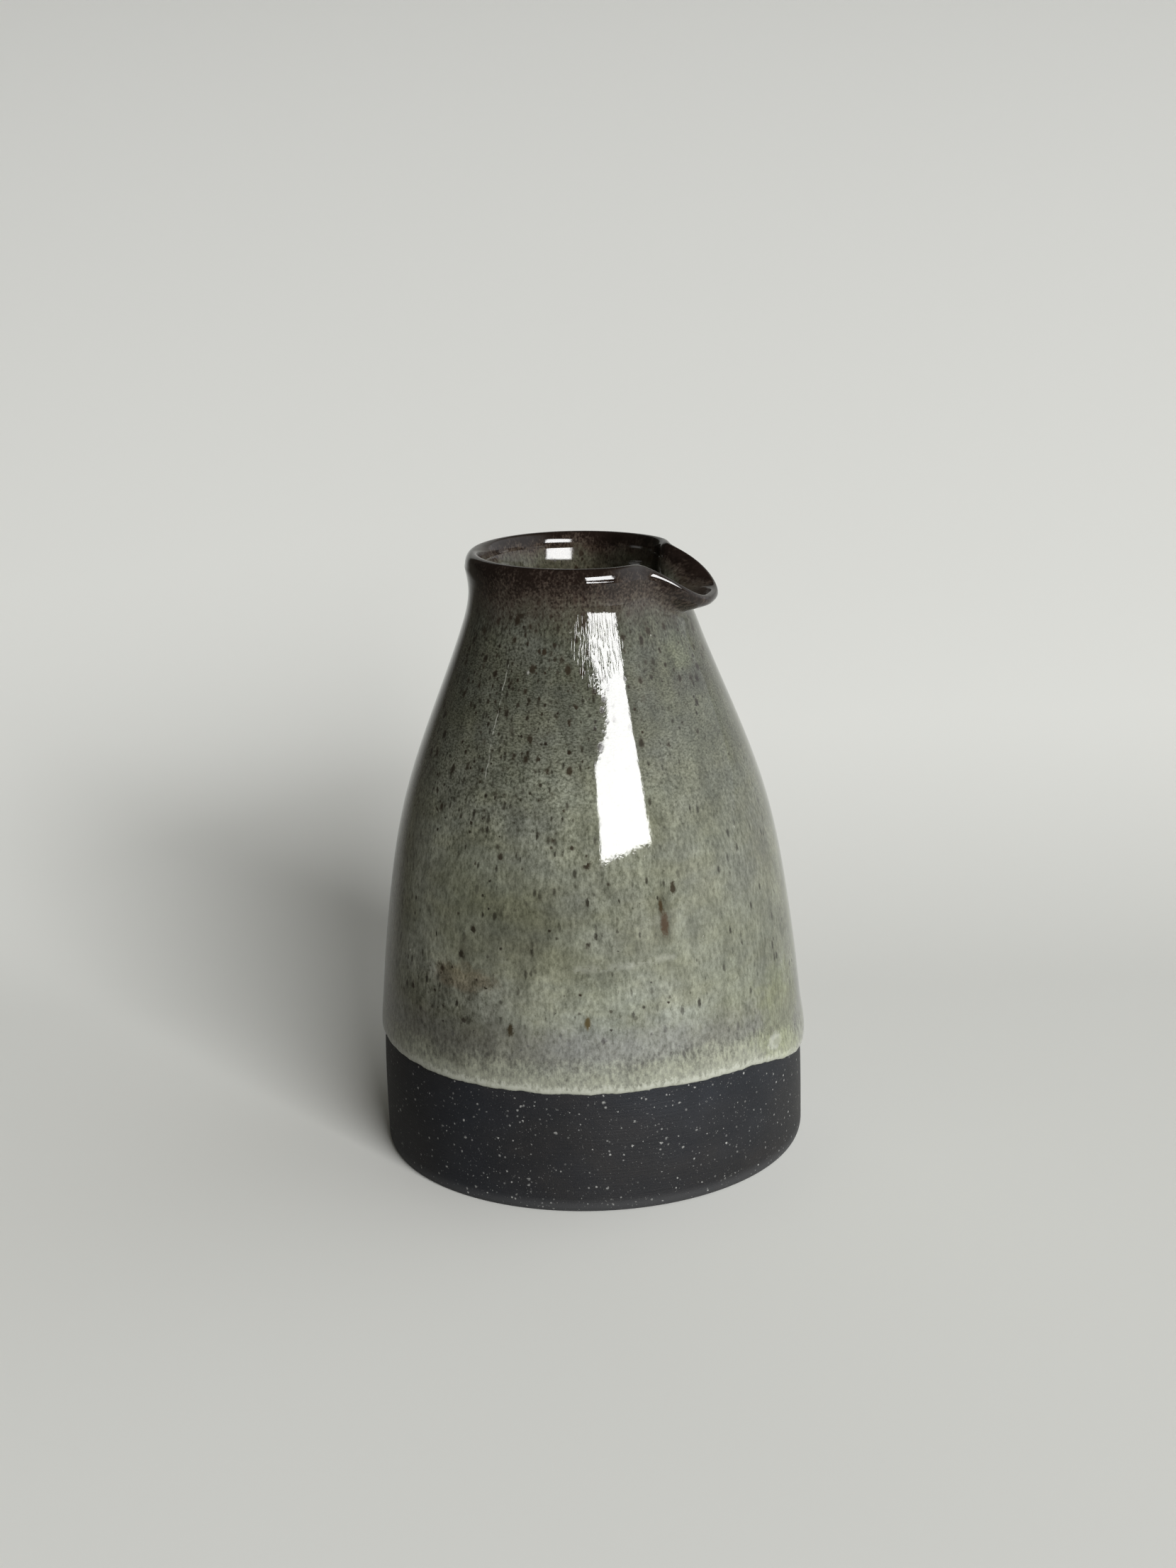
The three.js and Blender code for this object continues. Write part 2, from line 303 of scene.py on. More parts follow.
@dataclass
class ThrownWall:
    """The outside of the clay wall: radius over height through a few stations, and the wall's thickness.

    The lower stations are insets from the foot, the upper ones drops below the top and offsets from the
    rim. Points of a section crowd towards the rim, where the spout bends the wall.
    """

    height: float
    foot_radius: float
    rim_radius: float = 17.98 * MM
    bevel_height: float = 1.5 * MM
    bevel_inset: float = 0.75 * MM
    waist: tuple[float, float] = (20 * MM, 0.25 * MM)
    belly: tuple[float, float] = (40 * MM, 2.25 * MM)
    shoulder: tuple[float, float] = (40.3 * MM, 6.15 * MM)
    collar: tuple[float, float] = (20.3 * MM, 3.77 * MM)
    throat: tuple[float, float] = (12.3 * MM, 0.74 * MM)
    neck: tuple[float, float] = (5.3 * MM, -0.56 * MM)
    thickness: float = 3.6 * MM
    rim_thickness: float = 2.3 * MM
    rim_rise: float = 2.1 * MM
    rim_glaze: float = 0.22 * MM
    crowding: float = 1.4
    knots: np.ndarray = field(init=False)
    values: np.ndarray = field(init=False)
    bends: np.ndarray = field(init=False)

    def __post_init__(self) -> None:
        """Solves the natural cubic spline through the stations."""
        stations = [(self.bevel_height, self.foot_radius)]
        stations += [(height, self.foot_radius - inset) for height, inset in (self.waist, self.belly)]
        stations += [(self.height - self.shoulder[0], self.foot_radius - self.shoulder[1])]
        upper = (self.collar, self.throat, self.neck)
        stations += [(self.height - drop, self.rim_radius + offset) for drop, offset in upper]
        stations += [(self.rim_height, self.rim_radius)]
        self.knots, self.values = np.array(stations).T
        step = np.diff(self.knots)
        rise = np.diff(self.values) / step
        count = len(self.knots)
        system = np.eye(count)
        target = np.zeros(count)
        for i in range(1, count - 1):
            system[i, i - 1 : i + 2] = step[i - 1], 2 * (step[i - 1] + step[i]), step[i]
            target[i] = 6 * (rise[i] - rise[i - 1])
        self.bends = np.linalg.solve(system, target)

    @property
    def neck_height(self) -> float:
        """Height of the narrowest level."""
        return self.height - self.neck[0]

    @property
    def clay_top(self) -> float:
        """Top of the clay under the glazed crown."""
        return self.height - self.rim_glaze

    @property
    def rim_height(self) -> float:
        """Height where the wall turns into the crown."""
        return self.clay_top - self.rim_rise

    def radius(self, z: np.ndarray) -> np.ndarray:
        """Outside radius of the clay at these heights."""
        z = np.clip(z, self.knots[0], self.knots[-1])
        i = np.clip(np.searchsorted(self.knots, z) - 1, 0, len(self.knots) - 2)
        step = self.knots[i + 1] - self.knots[i]
        a = (self.knots[i + 1] - z) / step
        b = 1 - a
        curve = (a**3 - a) * self.bends[i] + (b**3 - b) * self.bends[i + 1]
        return a * self.values[i] + b * self.values[i + 1] + curve * step**2 / 6

    def slope(self, z: np.ndarray) -> np.ndarray:
        """Change of radius with height."""
        step = 0.05 * MM
        low = np.clip(z - step, self.knots[0], self.knots[-1])
        high = np.clip(z + step, self.knots[0], self.knots[-1])
        return (self.radius(high) - self.radius(low)) / (high - low)

    def raised(self, radius: np.ndarray, z: np.ndarray, coat: np.ndarray) -> np.ndarray:
        """Moves points out along the wall's normal, and the last one straight outwards.

        Args:
            radius: their radii.
            z: their heights.
            coat: how far each is moved; below 0 it moves inwards.

        Returns:
            The points as rows.
        """
        normal = rows(np.ones_like(z), -self.slope(z))
        normal /= np.linalg.norm(normal, axis=-1, keepdims=True)
        normal[-1] = (1, 0)
        return rows(radius + coat * normal[:, 0], z + coat * normal[:, 1])

    def coat_at(self, z: np.ndarray, coat: float) -> np.ndarray:
        """Thickness of a coat of glaze at these heights: over the neck it passes into the rim's."""
        share = smooth((z - self.neck_height) / (self.clay_top - self.neck_height))
        return coat + (self.rim_glaze - coat) * share

    def inner_radius(self, z: np.ndarray) -> np.ndarray:
        """Inside radius of the clay: the wall thins from the belly to the neck."""
        share = smooth((z - self.belly[0]) / (self.neck_height - self.belly[0]))
        return self.radius(z) - (self.thickness + (self.rim_thickness - self.thickness) * share)

    def descent(self, low: float, count: int) -> np.ndarray:
        """Heights from the rim down to a level, closer together near the rim."""
        return self.rim_height - (self.rim_height - low) * np.linspace(0, 1, count) ** self.crowding

    def crown(self, turn: np.ndarray, coat: float = 0.0) -> np.ndarray:
        """Half an ellipse from the rim's outer edge (0) over the top to its inner edge (pi), as rows."""
        middle = self.rim_radius - self.rim_thickness / 2
        across = (self.rim_thickness / 2 + coat) * np.cos(turn)
        return rows(middle + across, self.rim_height + (self.rim_rise + coat) * np.sin(turn))


@dataclass(frozen=True)
class PulledSpout:
    """The spout: how the top of the wall is pulled out, dropped and pressed in beside the pull.

    The inner side of the wall drops by a straighter rule than the outer one, so that the channel's floor
    rolls over the lip. The dip is turned a little to one side, as a finger leaves it.
    """

    reach: float = 5.0 * MM
    dip: float = 6.1 * MM
    half_angle: float = 0.53
    dip_half_angle: float = 0.427
    flatness: float = 3.1
    throat: float = 12.2 * MM
    reach_power: float = 2.3
    dip_power: float = 1.0
    dip_turn: float = -0.015
    channel_power: float = 1.6
    pinch: float = 2.2 * MM
    pinch_angle: float = 0.565
    pinch_half_angle: float = 0.2
    rim_fall: float = 0.66 * MM


@dataclass(frozen=True)
class GlazeLine:
    """How the lower end of the outside glaze wanders, and the one thick run of glaze in it."""

    wave: float = 0.55 * MM
    fray: float = 0.55 * MM
    run_drop: float = 3.7 * MM
    run_angle: float = 0.0
    run_half_angle: float = 0.36
    run_swell: float = 0.38 * MM


@dataclass
class Section:
    """The section of one shell: its outline and what each point of it does when the shell is shaped."""

    points: list[np.ndarray] = field(default_factory=list)
    marks: dict[str, list[np.ndarray]] = field(default_factory=dict)

    NAMES = ("follow", "lean", "swell", "outside", "below_rim", "above_line")

    def add(self, points: np.ndarray, **marks: np.ndarray | float) -> None:
        """Adds a run of points.

        Args:
            points: (radius, height) rows.
            marks: one value or one row for each name in NAMES; a name left out is 0.
        """
        self.points.append(points)
        for name in self.NAMES:
            value = np.broadcast_to(np.asarray(marks.get(name, 0.0), float), (len(points),))
            self.marks.setdefault(name, []).append(value)

    def mesh(self, name: str) -> bpy.types.Mesh:
        """Writes the section as loose points in the XZ plane with its marks as attributes."""
        outline = np.concatenate(self.points)
        made = bpy.data.meshes.new(name)
        made.vertices.add(len(outline))
        flat = np.zeros((len(outline), 3), np.float32)
        flat[:, [0, 2]] = outline
        made.vertices.foreach_set("co", flat.ravel())
        for label, runs in self.marks.items():
            layer = made.attributes.new(label, "FLOAT", "POINT")
            layer.data.foreach_set("value", np.concatenate(runs).astype(np.float32))
        return made


class ShellTree:
    """Geometry Nodes: turns a section on the wheel, lets the glaze line wander and pulls the spout."""

    INPUTS = {
        "Section": GEOMETRY,
        "Section Points": 2,
        "Around": 360,
        "Rim Height": 0.1,
        **named_inputs("Spout", PulledSpout()),
        **named_inputs("Line", GlazeLine()),
        "Lip Outside": 17.3 * MM,
        "Lip Inside": 15.9 * MM,
        "Ripple Depth": 0.0,
        "Ripple Pitch": 5.5 * MM,
        "Material": MATERIAL,
    }
    MERGE = 0.001 * MM
    FOLD = math.radians(50.0)
    LINE_SEED = 3.0
    SLOW_WAVES = 1.3
    QUICK_WAVES = 8.0
    SWAY_WAVES = 1.7
    SWAY_PER_METRE = 25.0
    SWAY = 5.0

    def __init__(self) -> None:
        """Builds the tree."""
        self.group = NodeGroup("wheel_thrown_shell", "GeometryNodeTree", self.INPUTS, {"Shell": GEOMETRY})
        self.sketch = self.group.sketch
        self.given = self.group.given
        grid, row, angle = self.turned_grid()
        marks = {name: self.sampled(name, row) for name in Section.NAMES}
        radius, height = self.turned_point(row, angle, marks)
        radius, height = self.pulled(angle, radius, height)
        s = self.sketch
        flat = s.scaled(self.circle(angle, 0.0), radius)
        spot = s.vector("ADD", flat, s.xyz(0.0, 0.0, height))
        shaped = s.node("GeometryNodeSetPosition", {"Geometry": grid, "Position": spot})
        for name in ("below_rim", "above_line"):
            inputs = {"Geometry": shaped, "Name": name, "Value": marks[name]}
            shaped = s.node("GeometryNodeStoreNamedAttribute", inputs, data_type="FLOAT", domain="POINT")
        closed = s.node("GeometryNodeMergeByDistance", {"Geometry": shaped, "Distance": self.MERGE})
        rounded = s.node("GeometryNodeSetShadeSmooth", {"Geometry": closed, "Shade Smooth": True})
        real = s.node("GeometryNodeRealizeInstances", {"Geometry": rounded})
        coated = s.node("GeometryNodeSetMaterial", {"Geometry": real, "Material": self.given["Material"]})
        s.wire(self.group.result[0], coated)

    def turned_grid(self) -> tuple[Socket, Socket, Socket]:
        """A grid with one row for each section point and one column for each angle.

        Returns:
            The grid, each vertex's row and each vertex's angle, from -pi to pi with the spout at 0.
        """
        s = self.sketch
        columns = s.math("ADD", self.given["Around"], 1.0)
        size = {"Vertices X": self.given["Section Points"], "Vertices Y": columns}
        grid = s.node("GeometryNodeMeshGrid", size).outputs["Mesh"]
        index = s.node("GeometryNodeInputIndex").outputs[0]
        row = s.math("FLOOR", s.math("DIVIDE", s.math("ADD", index, 0.5), columns))
        column = s.math("SUBTRACT", index, s.product(row, columns))
        turn = s.math("SUBTRACT", s.math("DIVIDE", column, self.given["Around"]), 0.5)
        return grid, row, s.product(turn, math.tau)

    def sampled(self, name: str, row: Socket) -> Socket:
        """One of the section's marks, read at a vertex's row."""
        s = self.sketch
        mark = s.node("GeometryNodeInputNamedAttribute", {"Name": name}, data_type="FLOAT").outputs
        inputs = {"Geometry": self.given["Section"], "Value": mark["Attribute"], "Index": row}
        return s.node("GeometryNodeSampleIndex", inputs, data_type="FLOAT").outputs["Value"]

    def circle(self, angle: Socket, third: Fed) -> Socket:
        """A place on a circle, for noise that closes round the jug."""
        s = self.sketch
        return s.xyz(s.math("COSINE", angle), s.math("SINE", angle), third)

    def line_drift(self, angle: Socket) -> tuple[Socket, Socket]:
        """The wandering of the glaze line round the jug.

        Args:
            angle: the vertex's angle.

        Returns:
            How far the line lies above its nominal height, and how much the thick run counts.
        """
        s = self.sketch
        given = self.given
        place = self.circle(angle, self.LINE_SEED)
        slow = s.swing(s.noise(place, self.SLOW_WAVES, 1.0), s.product(given["Line Wave"], 2.0))
        quick = s.swing(s.noise(place, self.QUICK_WAVES, 4.0, 0.6), s.product(given["Line Fray"], 2.0))
        run = s.bell(s.math("SUBTRACT", angle, given["Line Run Angle"]), given["Line Run Half Angle"])
        return s.total(slow, quick, s.product(given["Line Run Drop"], run, -1.0)), run

    def turned_point(self, row: Socket, angle: Socket, marks: dict[str, Socket]) -> tuple[Socket, Socket]:
        """The point's radius and height before the pull.

        Args:
            row: the vertex's row.
            angle: the vertex's angle.
            marks: the section's marks at that row.

        Returns:
            Radius and height.
        """
        s = self.sketch
        given = self.given
        drift, run = self.line_drift(angle)
        position = s.node("GeometryNodeInputPosition")
        inputs = {"Geometry": given["Section"], "Value": position, "Index": row}
        found = s.node("GeometryNodeSampleIndex", inputs, data_type="FLOAT_VECTOR").outputs["Value"]
        point = s.split(found)
        shift = s.product(marks["follow"], drift)
        height = s.math("ADD", point["Z"], shift)
        place = self.circle(angle, s.product(height, self.SWAY_PER_METRE))
        sway = s.swing(s.noise(place, self.SWAY_WAVES, 1.0), self.SWAY)
        turns = s.product(s.math("DIVIDE", height, given["Ripple Pitch"]), math.tau)
        ripple = s.product(s.math("SINE", s.total(turns, sway)), given["Ripple Depth"], marks["outside"])
        swell = s.product(marks["swell"], run, given["Line Run Swell"])
        return s.total(point["X"], s.product(marks["lean"], shift), swell, ripple), height

    def pulled(self, angle: Socket, radius: Socket, height: Socket) -> tuple[Socket, Socket]:
        """The radius and height after the spout is pulled.

        Args:
            angle: the vertex's angle.
            radius: its radius before.
            height: its height before.

        Returns:
            Radius and height after.
        """
        s = self.sketch
        given = self.given
        flat = given["Spout Flatness"]
        start = s.math("SUBTRACT", given["Rim Height"], given["Spout Throat"])
        lift = s.span(height, start, given["Rim Height"])
        out = s.bell(angle, given["Spout Half Angle"], flat)
        turned = s.math("SUBTRACT", angle, given["Spout Dip Turn"])
        down = s.bell(turned, given["Spout Dip Half Angle"], flat)
        beside = s.math("SUBTRACT", s.math("ABSOLUTE", angle), given["Spout Pinch Angle"])
        pinch = s.bell(beside, given["Spout Pinch Half Angle"])
        forward = s.product(s.math("ADD", s.math("COSINE", angle), 1.0), 0.5)
        reach = s.product(s.math("POWER", lift, given["Spout Reach Power"]), out, given["Spout Reach"])
        press = s.product(lift, pinch, given["Spout Pinch"], -1.0)
        rise = s.math("DIVIDE", s.math("SUBTRACT", height, start), given["Spout Throat"])
        channel = s.math("POWER", s.node("ShaderNodeClamp", {"Value": rise}), given["Spout Channel Power"])
        inner = s.span(radius, given["Lip Outside"], given["Lip Inside"])
        outer = s.math("SUBTRACT", 1.0, inner)
        fallen = s.math("POWER", lift, given["Spout Dip Power"])
        sunk = s.total(s.product(fallen, outer), s.product(channel, inner))
        drop = s.product(sunk, down, given["Spout Dip"], -1.0)
        fall = s.product(lift, forward, given["Spout Rim Fall"], -1.0)
        return s.total(radius, reach, press), s.total(height, drop, fall)

    def shape(self, section: Section, piece: Shell, values: dict[str, Fed]) -> bpy.types.Object:
        """Runs the tree on a section and keeps the result as a plain mesh.

        Args:
            section: the shell's section.
            piece: which shell it is.
            values: the tree's inputs, by name.

        Returns:
            The new object, at the origin, with outward normals.
        """
        blank = bpy.data.objects.new("section", section.mesh("section"))
        bpy.context.scene.collection.objects.link(blank)
        modifier = blank.modifiers.new("thrown", "NODES")
        modifier.node_group = self.group.tree
        points = sum(len(run) for run in section.points)
        self.group.set_inputs(modifier, {"Section Points": points, **values})
        graph = bpy.context.evaluated_depsgraph_get()
        mesh = bpy.data.meshes.new_from_object(blank.evaluated_get(graph), depsgraph=graph)
        bpy.data.objects.remove(blank)
        mesh.name = f"{piece.value}_visual"
        self.face_outwards(mesh)
        made = bpy.data.objects.new(mesh.name, mesh)
        bpy.context.scene.collection.objects.link(made)
        return made

    def face_outwards(self, mesh: bpy.types.Mesh) -> None:
        """Turns every face of a closed mesh outwards, and keeps its sharp folds sharp when it is shaded."""
        work = bmesh.new()
        work.from_mesh(mesh)
        bmesh.ops.recalc_face_normals(work, faces=work.faces)
        work.to_mesh(mesh)
        work.free()
        mesh.set_sharp_from_angle(angle=self.FOLD)


class PatternLibrary:
    """Shader node groups that the finishes share, each built once."""

    def __init__(self) -> None:
        """Builds every group."""
        self.flow = self.build_flow()
        self.mottle = self.build_mottle()
        self.specks = self.build_specks()
        self.bloom = self.build_bloom()
        self.hairline = self.build_hairline()

    @staticmethod
    def group(
        name: str, inputs: Inputs, outputs: dict[str, str]
    ) -> tuple[NodeGroup, NodeSketch, bpy.types.NodeOutputs]:
        """Starts a shader node group.

        Args:
            name: its name.
            inputs: input name to a socket type, or to the default of a number.
            outputs: output name to socket type.

        Returns:
            The group, its sketch and the outputs of its input node.
        """
        made = NodeGroup(name, "ShaderNodeTree", inputs, outputs)
        return made, made.sketch, made.given

    def build_flow(self) -> NodeGroup:
        """Object coordinates turned into millimetres that run round and up the wall.

        Round the wall they follow a circle between the wall's own and a fixed one, so that streaks run up a
        leaning wall without breaking.
        """
        least, fixed = 6.0, 24.0
        inputs = {"Vector": VECTOR, "Own Share": 0.4}
        group, s, given = self.group("flow_round_wall", inputs, {"Flow": VECTOR})
        place = s.split(s.scaled(given["Vector"], PER_METRE))
        flat = s.xyz(place["X"], place["Y"], 0.0)
        radius = s.math("MAXIMUM", s.vector("LENGTH", flat), least)
        own = s.product(given["Own Share"], radius)
        other = s.product(s.math("SUBTRACT", 1.0, given["Own Share"]), fixed)
        around = s.math("DIVIDE", s.math("ADD", own, other), radius)
        s.wire(group.result["Flow"], s.vector("ADD", s.scaled(flat, around), s.xyz(0.0, 0.0, place["Z"])))
        return group

    @staticmethod
    def drawn(s: NodeSketch, given: bpy.types.NodeOutputs, *shift: Fed) -> Socket:
        """The flow, squeezed so that what is laid on it comes out Stretch times taller, and shifted."""
        squeeze = s.xyz(1.0, 1.0, s.math("DIVIDE", 1.0, given["Stretch"]))
        return s.vector("ADD", s.vector("MULTIPLY", given["Flow"], squeeze), s.xyz(*shift))

    def build_mottle(self) -> NodeGroup:
        """Soft blotches of a given width, drawn out up the wall."""
        numbers = {"Width": 1.0, "Stretch": 2.0, "Detail": 2.0, "Contrast": 1.0, "Seed": 0.0}
        group, s, given = self.group("mottle", {"Flow": VECTOR, **numbers}, {"Fac": NUMBER})
        moved = self.drawn(s, given, given["Seed"], s.product(given["Seed"], 1.7), given["Seed"])
        noise = s.noise(moved, s.math("DIVIDE", 1.0, given["Width"]), given["Detail"], 0.55)
        centred = s.swing(noise, given["Contrast"])
        s.wire(group.result["Fac"], s.math("ADD", centred, 0.5, clamped=True))
        return group

    def build_specks(self) -> NodeGroup:
        """Separate specks, one at most in each cell, some cells left empty.

        A noise that is frays times as fine as the cells pushes their edges by a share of the pitch. A speck's
        radius is Size times a draw between least and least plus varied.
        """
        frays, pushed = 3.6, 0.45
        least, varied = 0.35, 0.8
        numbers = {"Pitch": 1.0, "Size": 0.25, "Stretch": 1.0, "Share": 0.5, "Softness": 0.3, "Seed": 0.0}
        outputs = {"Mask": NUMBER, "Tone": NUMBER}
        group, s, given = self.group("specks", {"Flow": VECTOR, **numbers}, outputs)
        moved = self.drawn(s, given, given["Seed"], given["Seed"], s.product(given["Seed"], 2.3))
        fray = s.noise(moved, s.math("DIVIDE", frays, given["Pitch"]), 4.0, 0.7, output=1)
        push = s.scaled(s.vector("SUBTRACT", fray, HALF), s.product(given["Pitch"], pushed))
        inputs = {"Vector": s.vector("ADD", moved, push), "Scale": s.math("DIVIDE", 1.0, given["Pitch"])}
        cells = s.node("ShaderNodeTexVoronoi", inputs).outputs
        draw = s.node("ShaderNodeSeparateColor", {"Color": cells["Color"]}).outputs
        radius = s.product(given["Size"], s.math("ADD", s.product(draw["Green"], varied), least))
        soft = s.product(radius, s.math("SUBTRACT", 1.0, given["Softness"]))
        inside = s.span(cells["Distance"], soft, radius, 1.0, 0.0)
        held = s.math("LESS_THAN", draw["Red"], given["Share"])
        s.wire(group.result["Mask"], s.product(inside, held))
        s.wire(group.result["Tone"], draw["Blue"])
        return group

    def build_bloom(self) -> NodeGroup:
        """One soft spot at a place on the wall, in millimetres, with an edge that a given noise frays."""
        core, edge = 0.45, 1.15
        numbers = {"Width": 1.0, "Length": 2.0, "Ragged": 0.3, "Noise": 0.5}
        inputs = {"Vector": VECTOR, "Centre": VECTOR, **numbers}
        group, s, given = self.group("bloom", inputs, {"Mask": NUMBER})
        away = s.vector("SUBTRACT", s.scaled(given["Vector"], PER_METRE), given["Centre"])
        size = s.xyz(given["Width"], given["Width"], given["Length"])
        far = s.vector("LENGTH", s.vector("DIVIDE", away, size))
        uneven = s.product(s.swing(given["Noise"], given["Ragged"]), 4.0)
        s.wire(group.result["Mask"], s.span(s.math("ADD", far, uneven), core, edge, 1.0, 0.0))
        return group

    def build_hairline(self) -> NodeGroup:
        """A thin broken line between two places on the wall, in millimetres, that wavers a little."""
        wavers, breaks = 0.45, 1.1
        inputs = {"Vector": VECTOR, "Start": VECTOR, "End": VECTOR, "Width": 0.1, "Waver": 0.5}
        group, s, given = self.group("hairline", inputs, {"Mask": NUMBER})
        place = s.scaled(given["Vector"], PER_METRE)
        wander = s.vector("SUBTRACT", s.noise(place, wavers, 3.0, output=1), HALF)
        moved = s.vector("ADD", place, s.scaled(wander, given["Waver"]))
        run = s.vector("SUBTRACT", given["End"], given["Start"])
        away = s.vector("SUBTRACT", moved, given["Start"])
        along = s.math("DIVIDE", s.vector("DOT_PRODUCT", away, run), s.vector("DOT_PRODUCT", run, run))
        held = s.math("ADD", along, 0.0, clamped=True)
        gap = s.vector("LENGTH", s.vector("SUBTRACT", away, s.scaled(run, held)))
        broken = s.span(s.noise(place, breaks, 2.0, 0.6), 0.38, 0.5)
        s.wire(group.result["Mask"], s.product(s.span(gap, 0.0, given["Width"], 1.0, 0.0), broken))
        return group


class Blend(Enum):
    """How a patch of glaze changes the colour under it."""

    COVER = "MIX"
    TINT = "MULTIPLY"


@dataclass(frozen=True)
class Patch:
    """A place in the glaze: an iron spot that bled through, a stain where the coat came out otherwise, or
    painted light, shade or glint.

    Its angle is in radians from the spout. Its height on the jug is in millimetres, and so are its width
    and length, which are measured from its middle.
    """

    angle: float
    height: float
    width: float
    length: float
    colour: Colour = (0.02, 0.015, 0.01)
    strength: float = 0.9
    ragged: float = 0.22
    blend: Blend = Blend.COVER


class WallSketch(NodeSketch):
    """The tree of a finish on the jug's wall. It lays the shared patterns on the wall, in millimetres."""

    COAT = 0.4
    BROAD_FRAY = (320.0, 3.0, 0.6)
    SMALL_FRAY = (1900.0, 3.0, 0.65)

    def __init__(
        self, tree: bpy.types.NodeTree, patterns: PatternLibrary, wall: ThrownWall, **flow: float
    ) -> None:
        """Reads the coordinates that the patterns follow.

        Args:
            tree: the material's tree.
            patterns: the shared node groups.
            wall: the wall under the finish.
            flow: the flow group's own inputs, by name.
        """
        super().__init__(tree)
        self.patterns = patterns
        self.wall = wall
        self.place = self.node("ShaderNodeTexCoord").outputs["Object"]
        self.flow = patterns.flow.place(self, Vector=self.place, **flow).outputs["Flow"]

    def attribute(self, name: str) -> Socket:
        """One of the mesh's attributes, in millimetres."""
        found = self.node("ShaderNodeAttribute", attribute_name=name).outputs["Fac"]
        return self.product(found, PER_METRE)

    def spot(self, angle: float, height: float) -> Point:
        """A place on the glazed wall in millimetres, from its angle and its height."""
        radius = float(self.wall.radius(np.array([height * MM]))[0]) / MM + self.COAT
        return (radius * math.cos(angle), radius * math.sin(angle), height)

    def mottle(
        self, width: float, stretch: Fed = 2.0, contrast: Fed = 1.0, seed: float = 0.0, detail: float = 2.0
    ) -> Socket:
        """Soft blotches.

        Args:
            width: their width in millimetres.
            stretch: how many times taller than wide they are.
            contrast: how strongly they differ.
            seed: which blotches they are.
            detail: octaves of finer blotches.

        Returns:
            Their strength, from 0 to 1.
        """
        values = {"Width": width, "Stretch": stretch, "Detail": detail, "Contrast": contrast, "Seed": seed}
        return self.patterns.mottle.place(self, Flow=self.flow, **values).outputs[0]

    def specks(
        self,
        pitch: float,
        size: float,
        share: Fed,
        seed: float,
        stretch: float = 1.0,
        softness: float = 0.3,
    ) -> bpy.types.NodeOutputs:
        """Separate specks.

        Args:
            pitch: millimetres from one to the next, if none is left out.
            size: their size against the pitch.
            share: how many are left in.
            seed: which specks they are.
            stretch: how many times taller than wide they are.
            softness: how soft their edges are.

        Returns:
            The outputs Mask and Tone, by name.
        """
        values = {"Pitch": pitch, "Size": size, "Share": share, "Seed": seed, "Stretch": stretch}
        return self.patterns.specks.place(self, Flow=self.flow, Softness=softness, **values).outputs

    def bloom(self, patch: Patch, fray: Socket) -> Socket:
        """The mask of one patch, with an edge that a noise frays."""
        centre = self.spot(patch.angle, patch.height)
        values = {"Centre": centre, "Width": patch.width, "Length": patch.length, "Ragged": patch.ragged}
        return self.patterns.bloom.place(self, Vector=self.place, Noise=fray, **values).outputs[0]

    def gathered(self, patches: tuple[Patch, ...], fray: Socket) -> Fed:
        """How much of something the patches bring to each place, 0 away from them.

        Args:
            patches: the patches, each with its strength.
            fray: the noise that frays their edges.

        Returns:
            The value.
        """
        more = 0.0
        for patch in patches:
            more = self.total(self.product(self.bloom(patch, fray), patch.strength), more)
        return more


@dataclass(frozen=True)
class Track:
    """A line on the wall, thin or broad, through places given as (angle, height in millimetres)."""

    stations: tuple[tuple[float, float], ...]
    width: float
    strength: float
    waver: float = 0.9

    def drawn(self, s: WallSketch, colour: Socket, pale: Colour) -> Socket:
        """Draws the line.

        Args:
            s: the finish's tree.
            colour: the colour under it.
            pale: its own colour.

        Returns:
            The colour with the line.
        """
        for start, end in zip(self.stations, self.stations[1:]):
            ends = {"Start": s.spot(*start), "End": s.spot(*end)}
            values = {**ends, "Width": self.width, "Waver": self.waver}
            mask = s.patterns.hairline.place(s, Vector=s.place, **values).outputs[0]
            colour = s.mix(s.product(mask, self.strength), colour, pale)
        return colour


def blank_material(name: str) -> bpy.types.Material:
    """A new material with an empty tree."""
    made = bpy.data.materials.new(name)
    made.use_nodes = True
    made.node_tree.nodes.clear()
    return made


